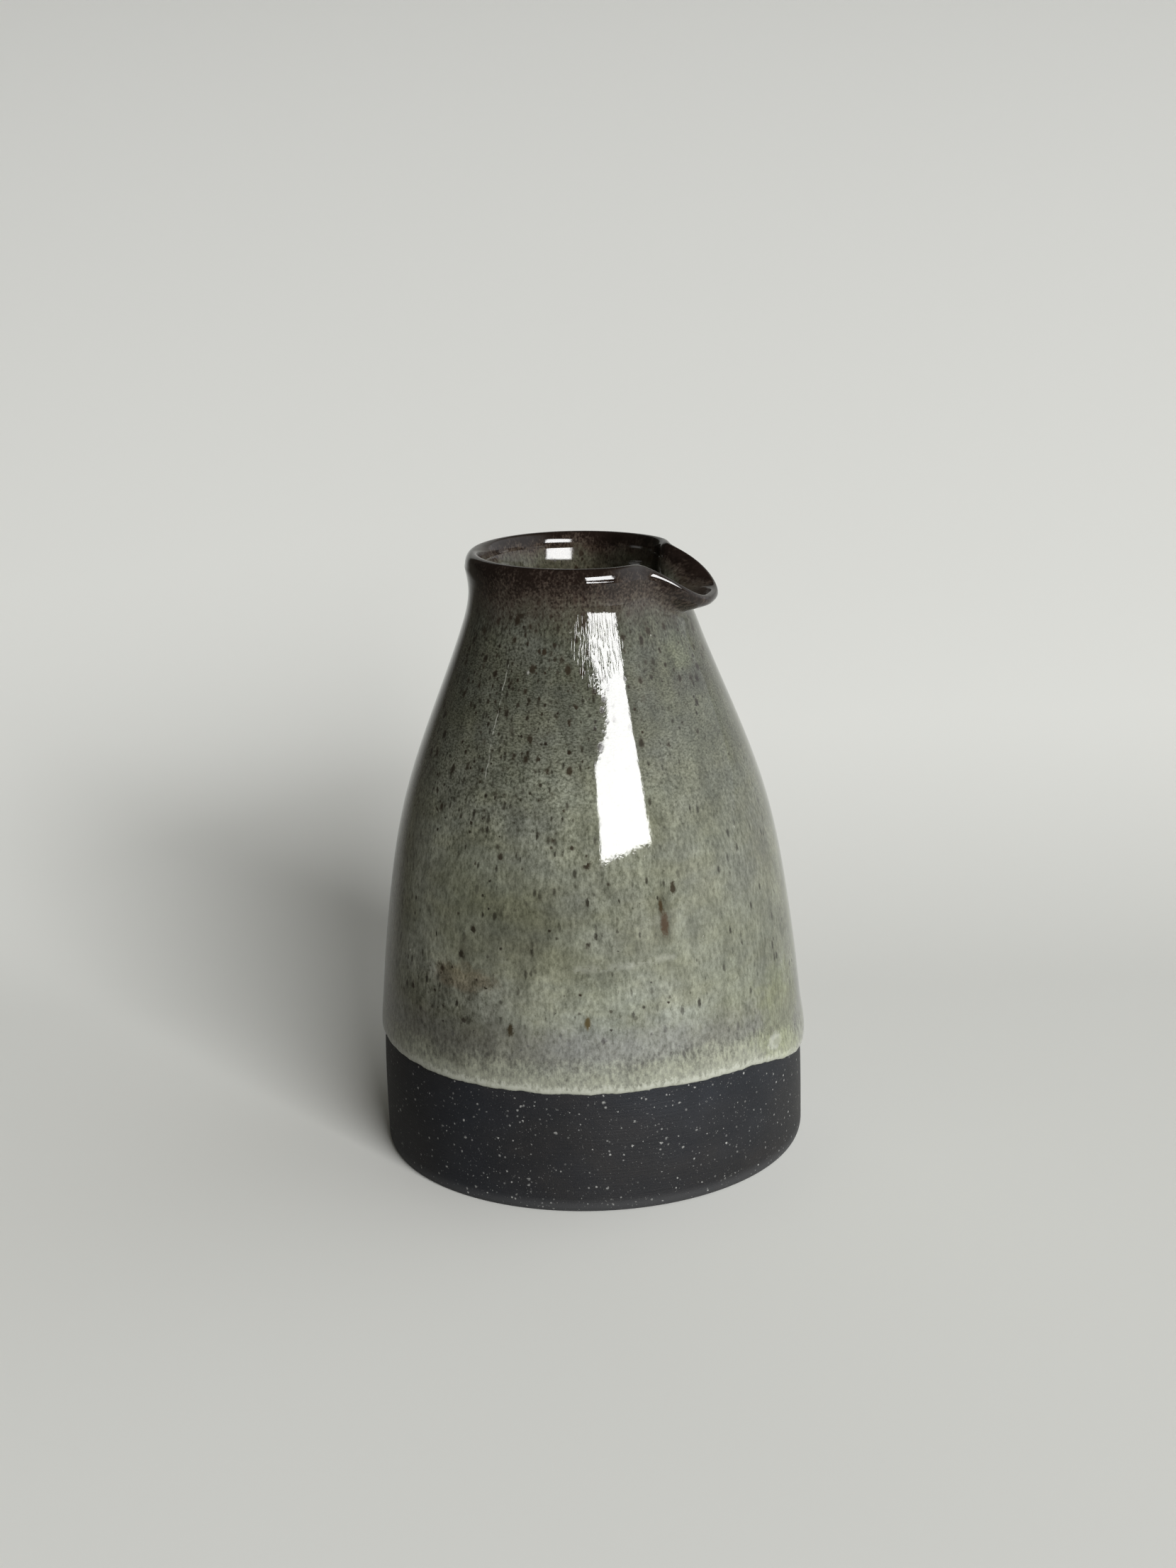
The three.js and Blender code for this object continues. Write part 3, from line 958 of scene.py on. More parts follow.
@dataclass(frozen=True)
class AshGlaze:
    """Glossy grey-green ash glaze over dark clay: streaky, iron-specked, brown where it is thin.

    Reliefs and lengths are in millimetres, and a Fade runs over millimetres below the rim.
    """

    name: str
    dark: Colour = (0.062, 0.063, 0.044)
    pale: Colour = (0.262, 0.266, 0.21)
    olive: Colour = (0.92, 0.94, 0.82)
    cloud: Colour = (0.99, 1.01, 1.1)
    pit: Colour = (0.015, 0.012, 0.008)
    rust: Colour = (0.034, 0.023, 0.013)
    grain: Colour = (0.5, 0.5, 0.45)
    rim: Colour = (0.008, 0.0045, 0.0035)
    rim_warm: Colour = (0.024, 0.0155, 0.012)
    rim_grain: Colour = (0.08, 0.059, 0.047)
    edge: Colour = (0.43, 0.44, 0.385)
    edge_warm: Colour = (0.285, 0.3, 0.215)
    edge_shade: Colour = (0.205, 0.205, 0.19)
    roughness: float = 0.035
    pit_roughness: float = 0.04
    refraction: float = 1.52
    gloss: float = 0.44
    rim_depth: float = 9.0
    edge_width: float = 4.2
    shading: Fade = (4.0, 66.0, 0.46, 1.1)
    crispness: Fade = (22.0, 62.0, 3.0, 1.8)
    foot_crispness: Fade = (68.0, 78.0, 0.0, 0.9)
    drawing_out: Fade = (12.0, 42.0, 1.25, 2.2)
    rim_crowd: Fade = (8.0, 30.0, 0.25, -0.03)
    wave_relief: float = 0.017
    skin_relief: Fade = (26.0, 48.0, 0.003, 0.0068)
    pit_relief: float = -0.0015
    comb_relief: float = 0.03
    rim_relief: Fade = (4.5, 9.5, 0.0, 0.3)
    patches: tuple[Patch, ...] = ()
    swarms: tuple[Patch, ...] = ()
    combed: tuple[Patch, ...] = ()
    tracks: tuple[Track, ...] = ()

    def material(self, patterns: PatternLibrary, wall: ThrownWall) -> bpy.types.Material:
        """Builds the material.

        Args:
            patterns: the shared node groups.
            wall: the wall under the glaze.

        Returns:
            The material.
        """
        made = blank_material(self.name)
        s = WallSketch(made.node_tree, patterns, wall)
        below = s.attribute("below_rim")
        above = s.attribute("above_line")
        broad = s.noise(s.place, *s.BROAD_FRAY)
        swarm = s.gathered(self.swarms, broad)
        near_foot = s.span(below, *self.foot_crispness)
        crisp = s.total(s.span(below, *self.crispness), near_foot, s.product(swarm, 2.0))
        cells = s.mottle(width=0.46, stretch=s.span(below, *self.drawing_out), detail=2.5, contrast=crisp)
        grain = s.mottle(width=0.2, stretch=1.4, detail=1.0, contrast=crisp, seed=3.0)
        fine = s.total(s.product(cells, 0.72), s.product(grain, 0.28))
        colour = self.body_colour(s, fine, below)
        colour, pits = self.specked(s, colour, below, swarm)
        colour = self.edged(s, fine, above, colour)
        colour = self.rimmed(s, below, colour)
        colour = self.patched(s, broad, colour)
        normal = self.surface(s, below, pits, s.gathered(self.combed, broad))
        shader = s.node("ShaderNodeBsdfPrincipled", {"Base Color": colour, "Normal": normal})
        shader.inputs["IOR"].default_value = self.refraction
        shader.inputs["Specular IOR Level"].default_value = self.gloss
        s.wire(shader.inputs["Roughness"], s.total(self.roughness, s.product(pits, self.pit_roughness)))
        s.node("ShaderNodeOutputMaterial", {"Surface": shader})
        return made

    def body_colour(self, s: WallSketch, fine: Socket, below: Socket) -> Socket:
        """Threads of pale on dark, olive patches and blue-grey clouds of the full coat, darker to the rim.

        Args:
            s: the material's tree.
            fine: the finest mottle.
            below: millimetres below the rim.

        Returns:
            The colour.
        """
        streak = s.mottle(width=2.6, stretch=2.4, contrast=2.2, seed=11.0)
        patch = s.mottle(width=13.0, stretch=0.9, contrast=1.7, seed=29.0)
        mist = s.mottle(width=8.0, stretch=0.55, detail=3.0, contrast=3.4, seed=47.0)
        colour = s.mix(fine, self.dark, self.pale)
        colour = s.mix(patch, colour, self.olive, "MULTIPLY")
        colour = s.mix(mist, colour, self.cloud, "MULTIPLY")
        tone = s.product(s.math("ADD", 0.72, s.product(streak, 0.56)), s.span(below, *self.shading))
        return s.mix(1.0, colour, s.xyz(tone, tone, tone), "MULTIPLY")

    def specked(self, s: WallSketch, colour: Socket, below: Socket, swarm: Fed) -> tuple[Socket, Socket]:
        """Adds iron pits that crowd below the rim, rusty halos, soft dark dashes and a few pale grains.

        Args:
            s: the material's tree.
            colour: the colour so far.
            below: millimetres below the rim.
            swarm: how much more often pits come here.

        Returns:
            The colour and the pits' mask.
        """
        crowd = s.mottle(width=10.0, stretch=1.2, contrast=3.4, seed=83.0)
        sparse = s.math("SUBTRACT", 0.6, s.product(s.span(below, 8.0, 46.0), 0.57))
        share = s.total(sparse, s.product(crowd, 0.14), swarm)
        rare = s.math("ADD", share, s.span(below, *self.rim_crowd))
        often = s.total(s.product(crowd, 0.5), swarm, 0.18)
        small = s.specks(pitch=0.95, size=0.42, share=share, seed=5.0, stretch=1.2, softness=0.65)
        large = s.specks(pitch=1.75, size=0.34, share=rare, seed=17.0, stretch=1.4, softness=0.5)
        halo = s.specks(pitch=1.75, size=0.5, share=rare, seed=17.0, stretch=1.4, softness=0.9)
        dash = s.specks(pitch=0.9, size=0.4, share=often, seed=97.0, stretch=2.8, softness=0.6)
        pale = s.specks(pitch=3.4, size=0.05, share=0.4, seed=61.0)
        faint = s.math("ADD", 0.3, s.product(dash["Tone"], 0.6))
        colour = s.mix(s.product(dash["Mask"], faint), colour, self.pit)
        colour = s.mix(s.product(halo["Mask"], 0.5), colour, self.rust)
        pits = s.math("MAXIMUM", s.product(small["Mask"], s.math("ADD", 0.3, small["Tone"])), large["Mask"])
        iron = s.mix(s.product(large["Tone"], 0.4), self.pit, self.rust)
        colour = s.mix(s.product(pits, 0.85), colour, iron)
        return s.mix(s.product(pale["Mask"], 0.8), colour, self.grain), pits

    def edged(self, s: WallSketch, fine: Socket, above: Socket, colour: Socket) -> Socket:
        """Bands of the rolled edge: whitish at the very line, then yellow-green, then a lilac-grey shade.

        Args:
            s: the material's tree.
            fine: the finest mottle.
            above: millimetres above the glaze line.
            colour: the colour so far.

        Returns:
            The colour.
        """
        ragged = s.mottle(width=5.0, stretch=0.7, contrast=2.2, seed=7.0)
        uneven = s.swing(ragged, -2.2)
        rise = s.total(above, uneven, s.swing(fine, -1.8))
        lip = s.total(above, s.product(uneven, 0.15), s.swing(fine, -1.4))
        width = self.edge_width
        near = s.span(rise, width * 0.6, width * 1.5)
        shade = s.product(near, s.span(rise, width * 1.6, width * 3.0, 1.0, 0.0))
        grey = s.mix(fine, s.mix(0.35, self.pit, self.edge_shade), self.edge_shade)
        colour = s.mix(s.product(shade, 0.6), colour, grey)
        ground = s.mix(0.25, self.edge_shade, self.edge_warm)
        warm = s.mix(fine, ground, s.mix(0.3, self.edge_warm, self.edge))
        colour = s.mix(s.product(s.span(rise, width * 0.1, width * 1.45, 1.0, 0.0), 0.9), colour, warm)
        pale = s.mix(fine, s.mix(0.5, self.edge_warm, self.edge), self.edge)
        return s.mix(s.product(s.span(lip, width * 0.14, width * 0.42, 1.0, 0.0), 0.85), colour, pale)

    def patched(self, s: WallSketch, broad: Socket, colour: Socket) -> Socket:
        """Lays the patches, the scratch and the lap mark over the coat.

        Args:
            s: the material's tree.
            broad: the noise that frays broad tints, stains and painted light and shade alike.
            colour: the colour so far.

        Returns:
            The colour.
        """
        small = s.noise(s.place, *s.SMALL_FRAY)
        for patch in self.patches:
            mask = s.bloom(patch, broad if patch.blend is Blend.TINT else small)
            colour = s.mix(s.product(mask, patch.strength), colour, patch.colour, patch.blend.value)
        for track in self.tracks:
            colour = track.drawn(s, colour, self.edge)
        return colour

    def rimmed(self, s: WallSketch, below: Socket, colour: Socket) -> Socket:
        """Browns the rim, where the glaze is thin: a dark band, then warm ground with pinkish grains.

        Args:
            s: the material's tree.
            below: millimetres below the rim.
            colour: the colour so far.

        Returns:
            The colour.
        """
        ragged = s.mottle(width=4.0, stretch=1.2, contrast=2.4, seed=3.0)
        coarse = s.mottle(width=0.45, stretch=1.0, detail=3.0, contrast=3.2, seed=57.0)
        depth = self.rim_depth
        grainy = s.swing(coarse, depth)
        drop = s.total(below, s.swing(ragged, -3.0))
        thin = s.span(s.total(drop, s.product(grainy, 0.28)), depth * 0.3, depth * 1.3, 1.0, 0.0)
        colour = s.mix(s.product(thin, 0.9), colour, s.mix(coarse, self.rim_warm, self.rim_grain))
        bare = s.span(s.total(drop, s.product(grainy, 0.38)), depth * 0.04, depth * 0.75, 1.0, 0.0)
        colour = s.mix(s.product(bare, 0.92), colour, self.rim)
        crowd = s.span(drop, depth * 0.3, depth * 2.0, 0.9, 0.0)
        freckles = s.specks(pitch=0.6, size=0.38, share=crowd, seed=67.0, stretch=1.3, softness=0.8)
        return s.mix(s.product(freckles["Mask"], 0.8), colour, self.rim)

    def surface(self, s: WallSketch, below: Socket, pits: Socket, combed: Fed) -> Socket:
        """Slight waves, a fine skin, pits, combed lines and a coat that thins to the rim, as a bump normal.

        Args:
            s: the material's tree.
            below: millimetres below the rim.
            pits: the pits' mask.
            combed: how much the coat is combed.

        Returns:
            The normal.
        """
        wave = s.mottle(width=2.6, stretch=2.0, detail=1.0, seed=71.0)
        skin = s.mottle(width=0.34, stretch=1.8, detail=2.0, seed=91.0)
        comb = s.mottle(width=0.32, stretch=16.0, detail=1.0, contrast=2.4, seed=37.0)
        lively = s.product(skin, s.span(below, *self.skin_relief))
        lines = s.product(s.span(comb, 0.1, 0.5), combed, self.comb_relief)
        thinning = s.span(below, *self.rim_relief)
        sunken = s.product(pits, self.pit_relief)
        return s.relief(s.total(s.product(wave, self.wave_relief), lively, sunken, lines, thinning))


@dataclass(frozen=True)
class BareStoneware:
    """Unglazed dark stoneware: matt, near black, with pale grains of grog and faint trimming lines.

    Reliefs are in millimetres, and the painted reflection of the floor on the foot's bevel fades out over
    millimetres above the table.
    """

    name: str = "bare_stoneware"
    body: Colour = (0.0088, 0.0098, 0.0122)
    worn: Colour = (0.022, 0.0243, 0.0298)
    # Painted reflection of the floor: a lighter grey laid on the foot's bevel.
    toast: Colour = (0.0245, 0.0225, 0.0215)
    rubbed: Colour = (0.055, 0.056, 0.058)
    grain: Colour = (0.36, 0.36, 0.345)
    roughness: float = 0.55
    grain_polish: float = 0.12
    gloss: float = 0.22
    rubbing: Fade = (0.9, 2.6, 0.6, 0.0)
    grit_relief: float = 0.02
    turned_relief: float = 0.03
    grain_relief: float = 0.012

    def material(self, patterns: PatternLibrary, wall: ThrownWall) -> bpy.types.Material:
        """Builds the material.

        Args:
            patterns: the shared node groups.
            wall: the clay wall.

        Returns:
            The material.
        """
        made = blank_material(self.name)
        s = WallSketch(made.node_tree, patterns, wall, Own_Share=1.0)
        cloudy = s.mottle(width=7.0, stretch=0.6, contrast=1.8, seed=13.0)
        gritty = s.mottle(width=0.22, stretch=1.0, contrast=2.4, seed=19.0)
        turned = s.mottle(width=9.0, stretch=0.035, contrast=1.6, seed=23.0)
        toasted = s.mottle(width=24.0, stretch=0.7, contrast=3.0, seed=5.0)
        dust = s.specks(pitch=0.42, size=0.22, share=0.8, seed=31.0, softness=0.6)
        grog = s.specks(pitch=0.9, size=0.25, share=0.8, seed=43.0, softness=0.5)
        lump = s.specks(pitch=2.0, size=0.17, share=0.7, seed=53.0, stretch=0.8, softness=0.6)
        height = s.product(s.split(s.place)["Z"], PER_METRE)
        light = s.mix(toasted, self.worn, self.toast)
        colour = s.mix(s.total(s.product(cloudy, 0.5), s.product(gritty, 0.5)), self.body, light)
        # Painted reflection of the floor: the foot's bevel is lightened in colour.
        colour = s.mix(s.span(height, *self.rubbing), colour, self.rubbed)
        colour = s.mix(s.product(dust["Mask"], dust["Tone"], 0.5), colour, self.grain)
        shine = s.math("ADD", 0.12, s.product(s.math("POWER", grog["Tone"], 2.0), 0.8))
        colour = s.mix(s.product(grog["Mask"], shine), colour, self.grain)
        bright = s.math("ADD", 0.3, s.product(lump["Tone"], 0.5))
        colour = s.mix(s.product(lump["Mask"], bright), colour, self.grain)
        grains = s.math("MAXIMUM", grog["Mask"], lump["Mask"])
        lines = s.product(turned, self.turned_relief)
        raised = s.product(grains, self.grain_relief)
        normal = s.relief(s.total(s.product(gritty, self.grit_relief), lines, raised))
        shader = s.node("ShaderNodeBsdfPrincipled", {"Base Color": colour, "Normal": normal})
        shader.inputs["Specular IOR Level"].default_value = self.gloss
        polish = s.product(grains, self.grain_polish)
        s.wire(shader.inputs["Roughness"], s.math("SUBTRACT", self.roughness, polish))
        s.node("ShaderNodeOutputMaterial", {"Surface": shader})
        return made


@dataclass
class JugShell:
    """One shell of the jug: what all three share.

    Fields that end in points are counts along the section. The lip's two are shares of the rim's thickness.
    """

    wall: ThrownWall
    spout: PulledSpout
    line: GlazeLine
    tree: ShellTree
    around: int = 360
    crown_points: int = 13
    fillet_points: int = 24
    floor_points: int = 30
    lip_outside: float = 0.3
    lip_inside: float = 0.9
    ripple_depth: float = 0.0
    ripple_pitch: float = 5.5 * MM
    piece: Shell = Shell.CLAY
    slot: Slot = Slot.CLAY

    def section(self) -> Section:
        """The shell's section; each shell has its own."""
        raise NotImplementedError

    def build(self, material: bpy.types.Material) -> bpy.types.Object:
        wall = self.wall
        values = {
            "Around": self.around,
            "Rim Height": wall.height,
            "Ripple Depth": self.ripple_depth,
            "Ripple Pitch": self.ripple_pitch,
            "Lip Outside": wall.rim_radius - self.lip_outside * wall.rim_thickness,
            "Lip Inside": wall.rim_radius - self.lip_inside * wall.rim_thickness,
            **named_inputs("Spout", self.spout),
            **named_inputs("Line", self.line),
        }
        made = self.tree.shape(self.section(), self.piece, values)
        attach(made, "root")
        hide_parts(self.piece.value)
        self.dress(made, material)
        return made

    @staticmethod
    def dress(made: bpy.types.Object, material: bpy.types.Material) -> None:
        """Gives the shell its finish."""
        made.data.materials.clear()
        made.data.materials.append(material)

    def inner_face(self, coat: float, count: int, floor: float, fillet: float) -> Section:
        """The inside from the crown's inner edge down the wall, round the fillet and along the floor.

        Args:
            coat: thickness of glaze on the clay, 0 for the clay itself.
            count: points up the wall.
            floor: height of the clay floor.
            fillet: radius where the wall turns into the floor.

        Returns:
            A section with that run of points.
        """
        wall = self.wall
        top = floor + fillet
        z = wall.descent(top, count)[1:]
        inside = wall.inner_radius(z)
        thick = wall.coat_at(z, coat) if coat else np.zeros_like(z)
        made = Section()
        made.add(wall.raised(inside, z, -thick), below_rim=wall.height - z, above_line=wall.height)
        centre = inside[-1] - fillet
        turn = np.linspace(0, math.pi / 2, self.fillet_points)[1:]
        arc = rows(centre + (fillet - coat) * np.cos(turn), top - (fillet - coat) * np.sin(turn))
        made.add(arc, below_rim=wall.height - arc[:, 1], above_line=wall.height)
        flat = rows(centre * np.linspace(1, 0, self.floor_points)[1:], floor + coat)
        made.add(flat, below_rim=wall.height - floor, above_line=wall.height)
        return made


@dataclass
class ClayBody(JugShell):
    """The thrown clay: foot ring, bare band, wall, rim and floor."""

    foot_ring: float = 6 * MM
    recess: float = 0.9 * MM
    recess_fillet: float = 1.6 * MM
    floor: float = 5 * MM
    fillet: float = 9 * MM
    crown_points: int = 15
    recess_points: int = 28
    foot_points: int = 9
    wall_points: int = 100
    inside_points: int = 56

    def section(self) -> Section:
        """From the middle of the recess out under the foot, up the wall, over the rim and down inside."""
        wall = self.wall
        ring_outer = wall.foot_radius - wall.bevel_inset
        ring_inner = ring_outer - self.foot_ring
        edge = ring_inner - self.recess_fillet
        share = np.linspace(0, 1, self.foot_points)[1:]
        turn = share * math.pi / 2
        under = (
            rows(np.linspace(0, edge, self.recess_points), self.recess),
            rows(edge + self.recess_fillet * share, self.recess * (1 - smooth(share))),
            rows(np.linspace(ring_inner, ring_outer, self.foot_points)[1:], 0.0),
            rows(ring_outer + wall.bevel_inset * np.sin(turn), wall.bevel_height * (1 - np.cos(turn))),
        )
        made = Section()
        for run in under:
            made.add(run, below_rim=wall.height)
        z = wall.descent(wall.bevel_height, self.wall_points)[-2::-1]
        made.add(rows(wall.radius(z), z), below_rim=wall.height - z, outside=1.0)
        made.add(wall.crown(np.linspace(0, math.pi, self.crown_points)[1:]))
        inside = self.inner_face(0.0, self.inside_points, self.floor, self.fillet)
        for number, run in enumerate(inside.points):
            made.add(run, **{name: marks[number] for name, marks in inside.marks.items()})
        return made


@dataclass
class OuterGlaze(JugShell):
    """The outside coat: a rolled edge above the foot, a full coat on the wall, thin over the rim."""

    line_height: float = 20.2 * MM
    coat: float = 0.42 * MM
    nose_height: float = 0.8 * MM
    roll: float = 0.12 * MM
    roll_middle: float = 1.4 * MM
    roll_half_height: float = 2.8 * MM
    still_above: float = 4 * MM
    still_fade: float = 14 * MM
    bedding: float = 0.08 * MM
    around: int = 720
    nose_points: int = 12
    wall_points: int = 74
    bed_points: int = 20
    piece: Shell = Shell.OUTSIDE
    slot: Slot = Slot.OUTSIDE

    def thickness(self, above: np.ndarray, z: np.ndarray) -> np.ndarray:
        """Thickness of the coat.

        Args:
            above: distance above the glaze line.
            z: height.

        Returns:
            Thickness at each point.
        """
        share = np.clip(above / self.nose_height, 0, 1)
        nose = np.sqrt(share * (2 - share))
        return nose * (self.wall.coat_at(z, self.coat) + self.roll * self.rolled(above))

    def rolled(self, above: np.ndarray) -> np.ndarray:
        """How much of the rolled edge is left at a distance above the line."""
        return np.exp(-(((above - self.roll_middle) / self.roll_half_height) ** 2))

    def follow(self, above: np.ndarray) -> np.ndarray:
        """How much a point goes with the wandering line: all of it near the line, none far above."""
        return 1 - smooth((above - self.still_above) / self.still_fade)

    def section(self) -> Section:
        """From the line up the face of the coat, over the crown and back down inside the clay's surface."""
        wall = self.wall
        line = self.line_height
        near = self.nose_height * (1 - np.cos(np.linspace(0, math.pi / 2, self.nose_points)))
        far = np.linspace(self.nose_height, wall.rim_height - line, self.wall_points)[1:]
        above = np.concatenate([near, far])
        z = line + above
        face = wall.raised(wall.radius(z), z, self.thickness(above, z))
        marks = {"follow": self.follow(above), "lean": wall.slope(z), "outside": 1.0}
        swell = self.rolled(above) * np.sqrt(np.clip(above / self.nose_height, 0, 1))
        made = Section()
        made.add(face, swell=swell, below_rim=wall.height - z, above_line=above, **marks)
        turn = np.linspace(0, math.pi / 2, self.crown_points)[1:]
        crown = wall.crown(turn, wall.rim_glaze)
        made.add(crown, below_rim=wall.height - crown[:, 1], above_line=wall.height)
        made.add(wall.crown(turn[::-1], -self.bedding), above_line=wall.height)
        back = np.linspace(wall.rim_height, line, self.bed_points)
        marks = {"follow": self.follow(back - line), "lean": wall.slope(back), "outside": 1.0}
        bed = rows(wall.radius(back) - self.bedding, back)
        made.add(bed, below_rim=wall.height - back, above_line=back - line, **marks)
        made.add(face[:1], follow=1.0, lean=wall.slope(z[:1]), outside=1.0, below_rim=wall.height - z[0])
        return made


@dataclass
class LinerGlaze(JugShell):
    """The inside coat, from the crown down over the floor."""

    coat: float = 0.4 * MM
    floor: float = 5 * MM
    fillet: float = 9 * MM
    bedding: float = 0.08 * MM
    bed_points: int = 46
    face_points: int = 96
    piece: Shell = Shell.LINER
    slot: Slot = Slot.LINER

    def section(self) -> Section:
        """From the middle of the floor up inside the clay to the crown, and back down the coat's face."""
        wall = self.wall
        buried = self.inner_face(-self.bedding, self.bed_points, self.floor, self.fillet)
        made = Section()
        for run, below in zip(buried.points[::-1], buried.marks["below_rim"][::-1]):
            made.add(run[::-1], below_rim=below[::-1], above_line=wall.height)
        turn = np.linspace(math.pi, math.pi / 2, self.crown_points)
        made.add(wall.crown(turn, -self.bedding), above_line=wall.height)
        crown = wall.crown(turn[::-1], wall.rim_glaze)
        made.add(crown, below_rim=wall.height - crown[:, 1], above_line=wall.height)
        face = self.inner_face(self.coat, self.face_points, self.floor, self.fillet)
        for run, below in zip(face.points, face.marks["below_rim"]):
            made.add(run, below_rim=below, above_line=wall.height)
        return made


@dataclass(frozen=True)
class Studio:
    """Floor, backdrop, light and camera.

    Azimuths are measured at the jug from the camera, positive to its right. The window is an upright
    rectangle in a plane that faces the jug: across is measured along that plane, positive to the right, and
    upright from the floor.
    """

    camera_distance: float = 373.07 * MM
    camera_height: float = 166.95 * MM
    camera_azimuth: float = math.radians(16.4)
    clip_start: float = 10 * MM
    pitch: float = math.radians(15.918)
    roll: float = math.radians(-1.8)
    yaw: float = math.radians(0.086)
    focal_pixels: float = 3301.0
    image_height: float = 2212.0
    sensor: float = 36.0
    floor_colour: Colour = (0.84, 0.845, 0.81)
    floor_roughness: float = 0.9
    floor_gloss: float = 0.1
    far_colour: Colour = (0.91, 0.915, 0.885)
    far_fade: tuple[float, float] = (0.0, 0.9)
    floor_reach: float = 1.6
    floor_half_width: float = 2.2
    rise_start: float = 0.06
    rise_slope: float = math.radians(16)
    rise_length: float = 1.6
    bend_radius: float = 0.5
    bend_steps: int = 12
    back_height: float = 1.0
    backdrop_strength: float = 0.75
    dim_colour: Colour = (0.12, 0.11, 0.09)
    lit_azimuth: float = math.radians(118)
    floor_fade: tuple[float, float] = (-0.12, 0.06)
    window_azimuth: float = math.radians(40)
    window_distance: float = 3.0
    window_across: tuple[float, float] = (-1.839, 0.0)
    window_upright: tuple[float, float] = (0.67, 1.84)
    window_radiance: float = 23.5
    key_azimuth: float = math.radians(95)
    key_height: float = math.radians(18)
    key_spread: tuple[float, float] = (0.55, 0.86)
    key_strength: float = 0.8
    ambient: float = 0.05
    cool: Colour = (0.96, 0.985, 1.0)
    warm: Colour = (1.0, 0.93, 0.78)

    def towards(self, azimuth: float) -> Vector:
        """Level direction at an azimuth from the camera."""
        turned = self.camera_azimuth + azimuth
        return Vector((math.sin(turned), -math.cos(turned), 0.0))

    def camera(self) -> None:
        """Makes the camera at the photograph's place and angle."""
        data = bpy.data.cameras.new("camera")
        data.sensor_fit = "VERTICAL"
        data.sensor_height = self.sensor
        data.lens = self.focal_pixels * self.sensor / self.image_height
        data.clip_start = self.clip_start
        ahead = -self.towards(0.0)
        side = Vector((ahead.y, -ahead.x, 0.0))
        heading = ahead * math.cos(self.yaw) + side * math.sin(self.yaw)
        right = side * math.cos(self.yaw) - ahead * math.sin(self.yaw)
        up = heading * math.sin(self.pitch) + Vector((0, 0, math.cos(self.pitch)))
        axis_x = right * math.cos(self.roll) + up * math.sin(self.roll)
        axis_y = up * math.cos(self.roll) - right * math.sin(self.roll)
        axes = Matrix((axis_x, axis_y, axis_x.cross(axis_y))).transposed()
        place = self.towards(0.0) * self.camera_distance + Vector((0, 0, self.camera_height))
        made = bpy.data.objects.new("camera", data)
        made.matrix_world = Matrix.Translation(place) @ axes.to_4x4()
        bpy.context.scene.collection.objects.link(made)
        bpy.context.scene.camera = made

    def window(self) -> None:
        """Makes the window's light."""
        left, right = self.window_across
        sill, top = self.window_upright
        data = bpy.data.lights.new("window", "AREA")
        data.shape = "RECTANGLE"
        data.size = right - left
        data.size_y = top - sill
        data.energy = self.window_radiance * math.pi * data.size * data.size_y
        made = bpy.data.objects.new("window", data)
        out = self.towards(self.window_azimuth)
        along = self.towards(self.window_azimuth + math.pi / 2)
        middle = out * self.window_distance + along * (left + right) / 2
        made.location = middle + Vector((0, 0, (sill + top) / 2))
        made.rotation_euler = out.to_track_quat("Z", "Y").to_euler()
        bpy.context.scene.collection.objects.link(made)

    def sweep(self) -> list[tuple[float, float]]:
        """Floor and backdrop as (distance behind the jug, height): flat, a gentle rise, then upright."""
        outline = [(-self.floor_reach, 0.0)]
        slope = 0.0
        far, high = self.rise_start, 0.0
        for target, run in ((self.rise_slope, self.rise_length), (math.pi / 2, self.back_height)):
            bend = (target - slope) / self.bend_steps
            chord = 2 * self.bend_radius * math.sin(bend / 2)
            for step in range(self.bend_steps):
                outline.append((far, high))
                heading = slope + bend * (step + 0.5)
                far += chord * math.cos(heading)
                high += chord * math.sin(heading)
            slope = target
            outline.append((far, high))
            far += run * math.cos(slope)
            high += run * math.sin(slope)
        return outline + [(far, high)]

    def floor(self) -> None:
        """Makes the pale floor and the backdrop that it curves up into."""
        ahead = -self.towards(0.0)
        across = self.towards(math.pi / 2) * self.floor_half_width
        points = []
        for far, high in self.sweep():
            middle = ahead * far + Vector((0, 0, high))
            points += [middle - across, middle + across]
        faces = [(i, i + 1, i + 3, i + 2) for i in range(0, len(points) - 2, 2)]
        mesh = bpy.data.meshes.new("floor")
        mesh.from_pydata(points, [], faces)
        mesh.polygons.foreach_set("use_smooth", [True] * len(faces))
        mesh.materials.append(self.floor_material())
        made = bpy.data.objects.new("floor", mesh)
        bpy.context.scene.collection.objects.link(made)

    def floor_material(self) -> bpy.types.Material:
        """Pale and matt. Away from the key light it sends little light back, as in a dim room."""
        made = blank_material("pale_floor")
        s = NodeSketch(made.node_tree)
        place = s.node("ShaderNodeTexCoord").outputs["Object"]
        side = s.vector("DOT_PRODUCT", place, tuple(self.towards(self.lit_azimuth)))
        seen = s.node("ShaderNodeLightPath").outputs["Is Camera Ray"]
        near = s.math("MAXIMUM", seen, s.span(side, *self.floor_fade))
        behind = s.vector("DOT_PRODUCT", place, tuple(-self.towards(0.0)))
        pale = s.mix(s.product(seen, s.span(behind, *self.far_fade)), self.floor_colour, self.far_colour)
        shader = s.node("ShaderNodeBsdfPrincipled", {"Base Color": s.mix(near, self.dim_colour, pale)})
        shader.inputs["Roughness"].default_value = self.floor_roughness
        shader.inputs["Specular IOR Level"].default_value = self.floor_gloss
        s.node("ShaderNodeOutputMaterial", {"Surface": shader})
        return made

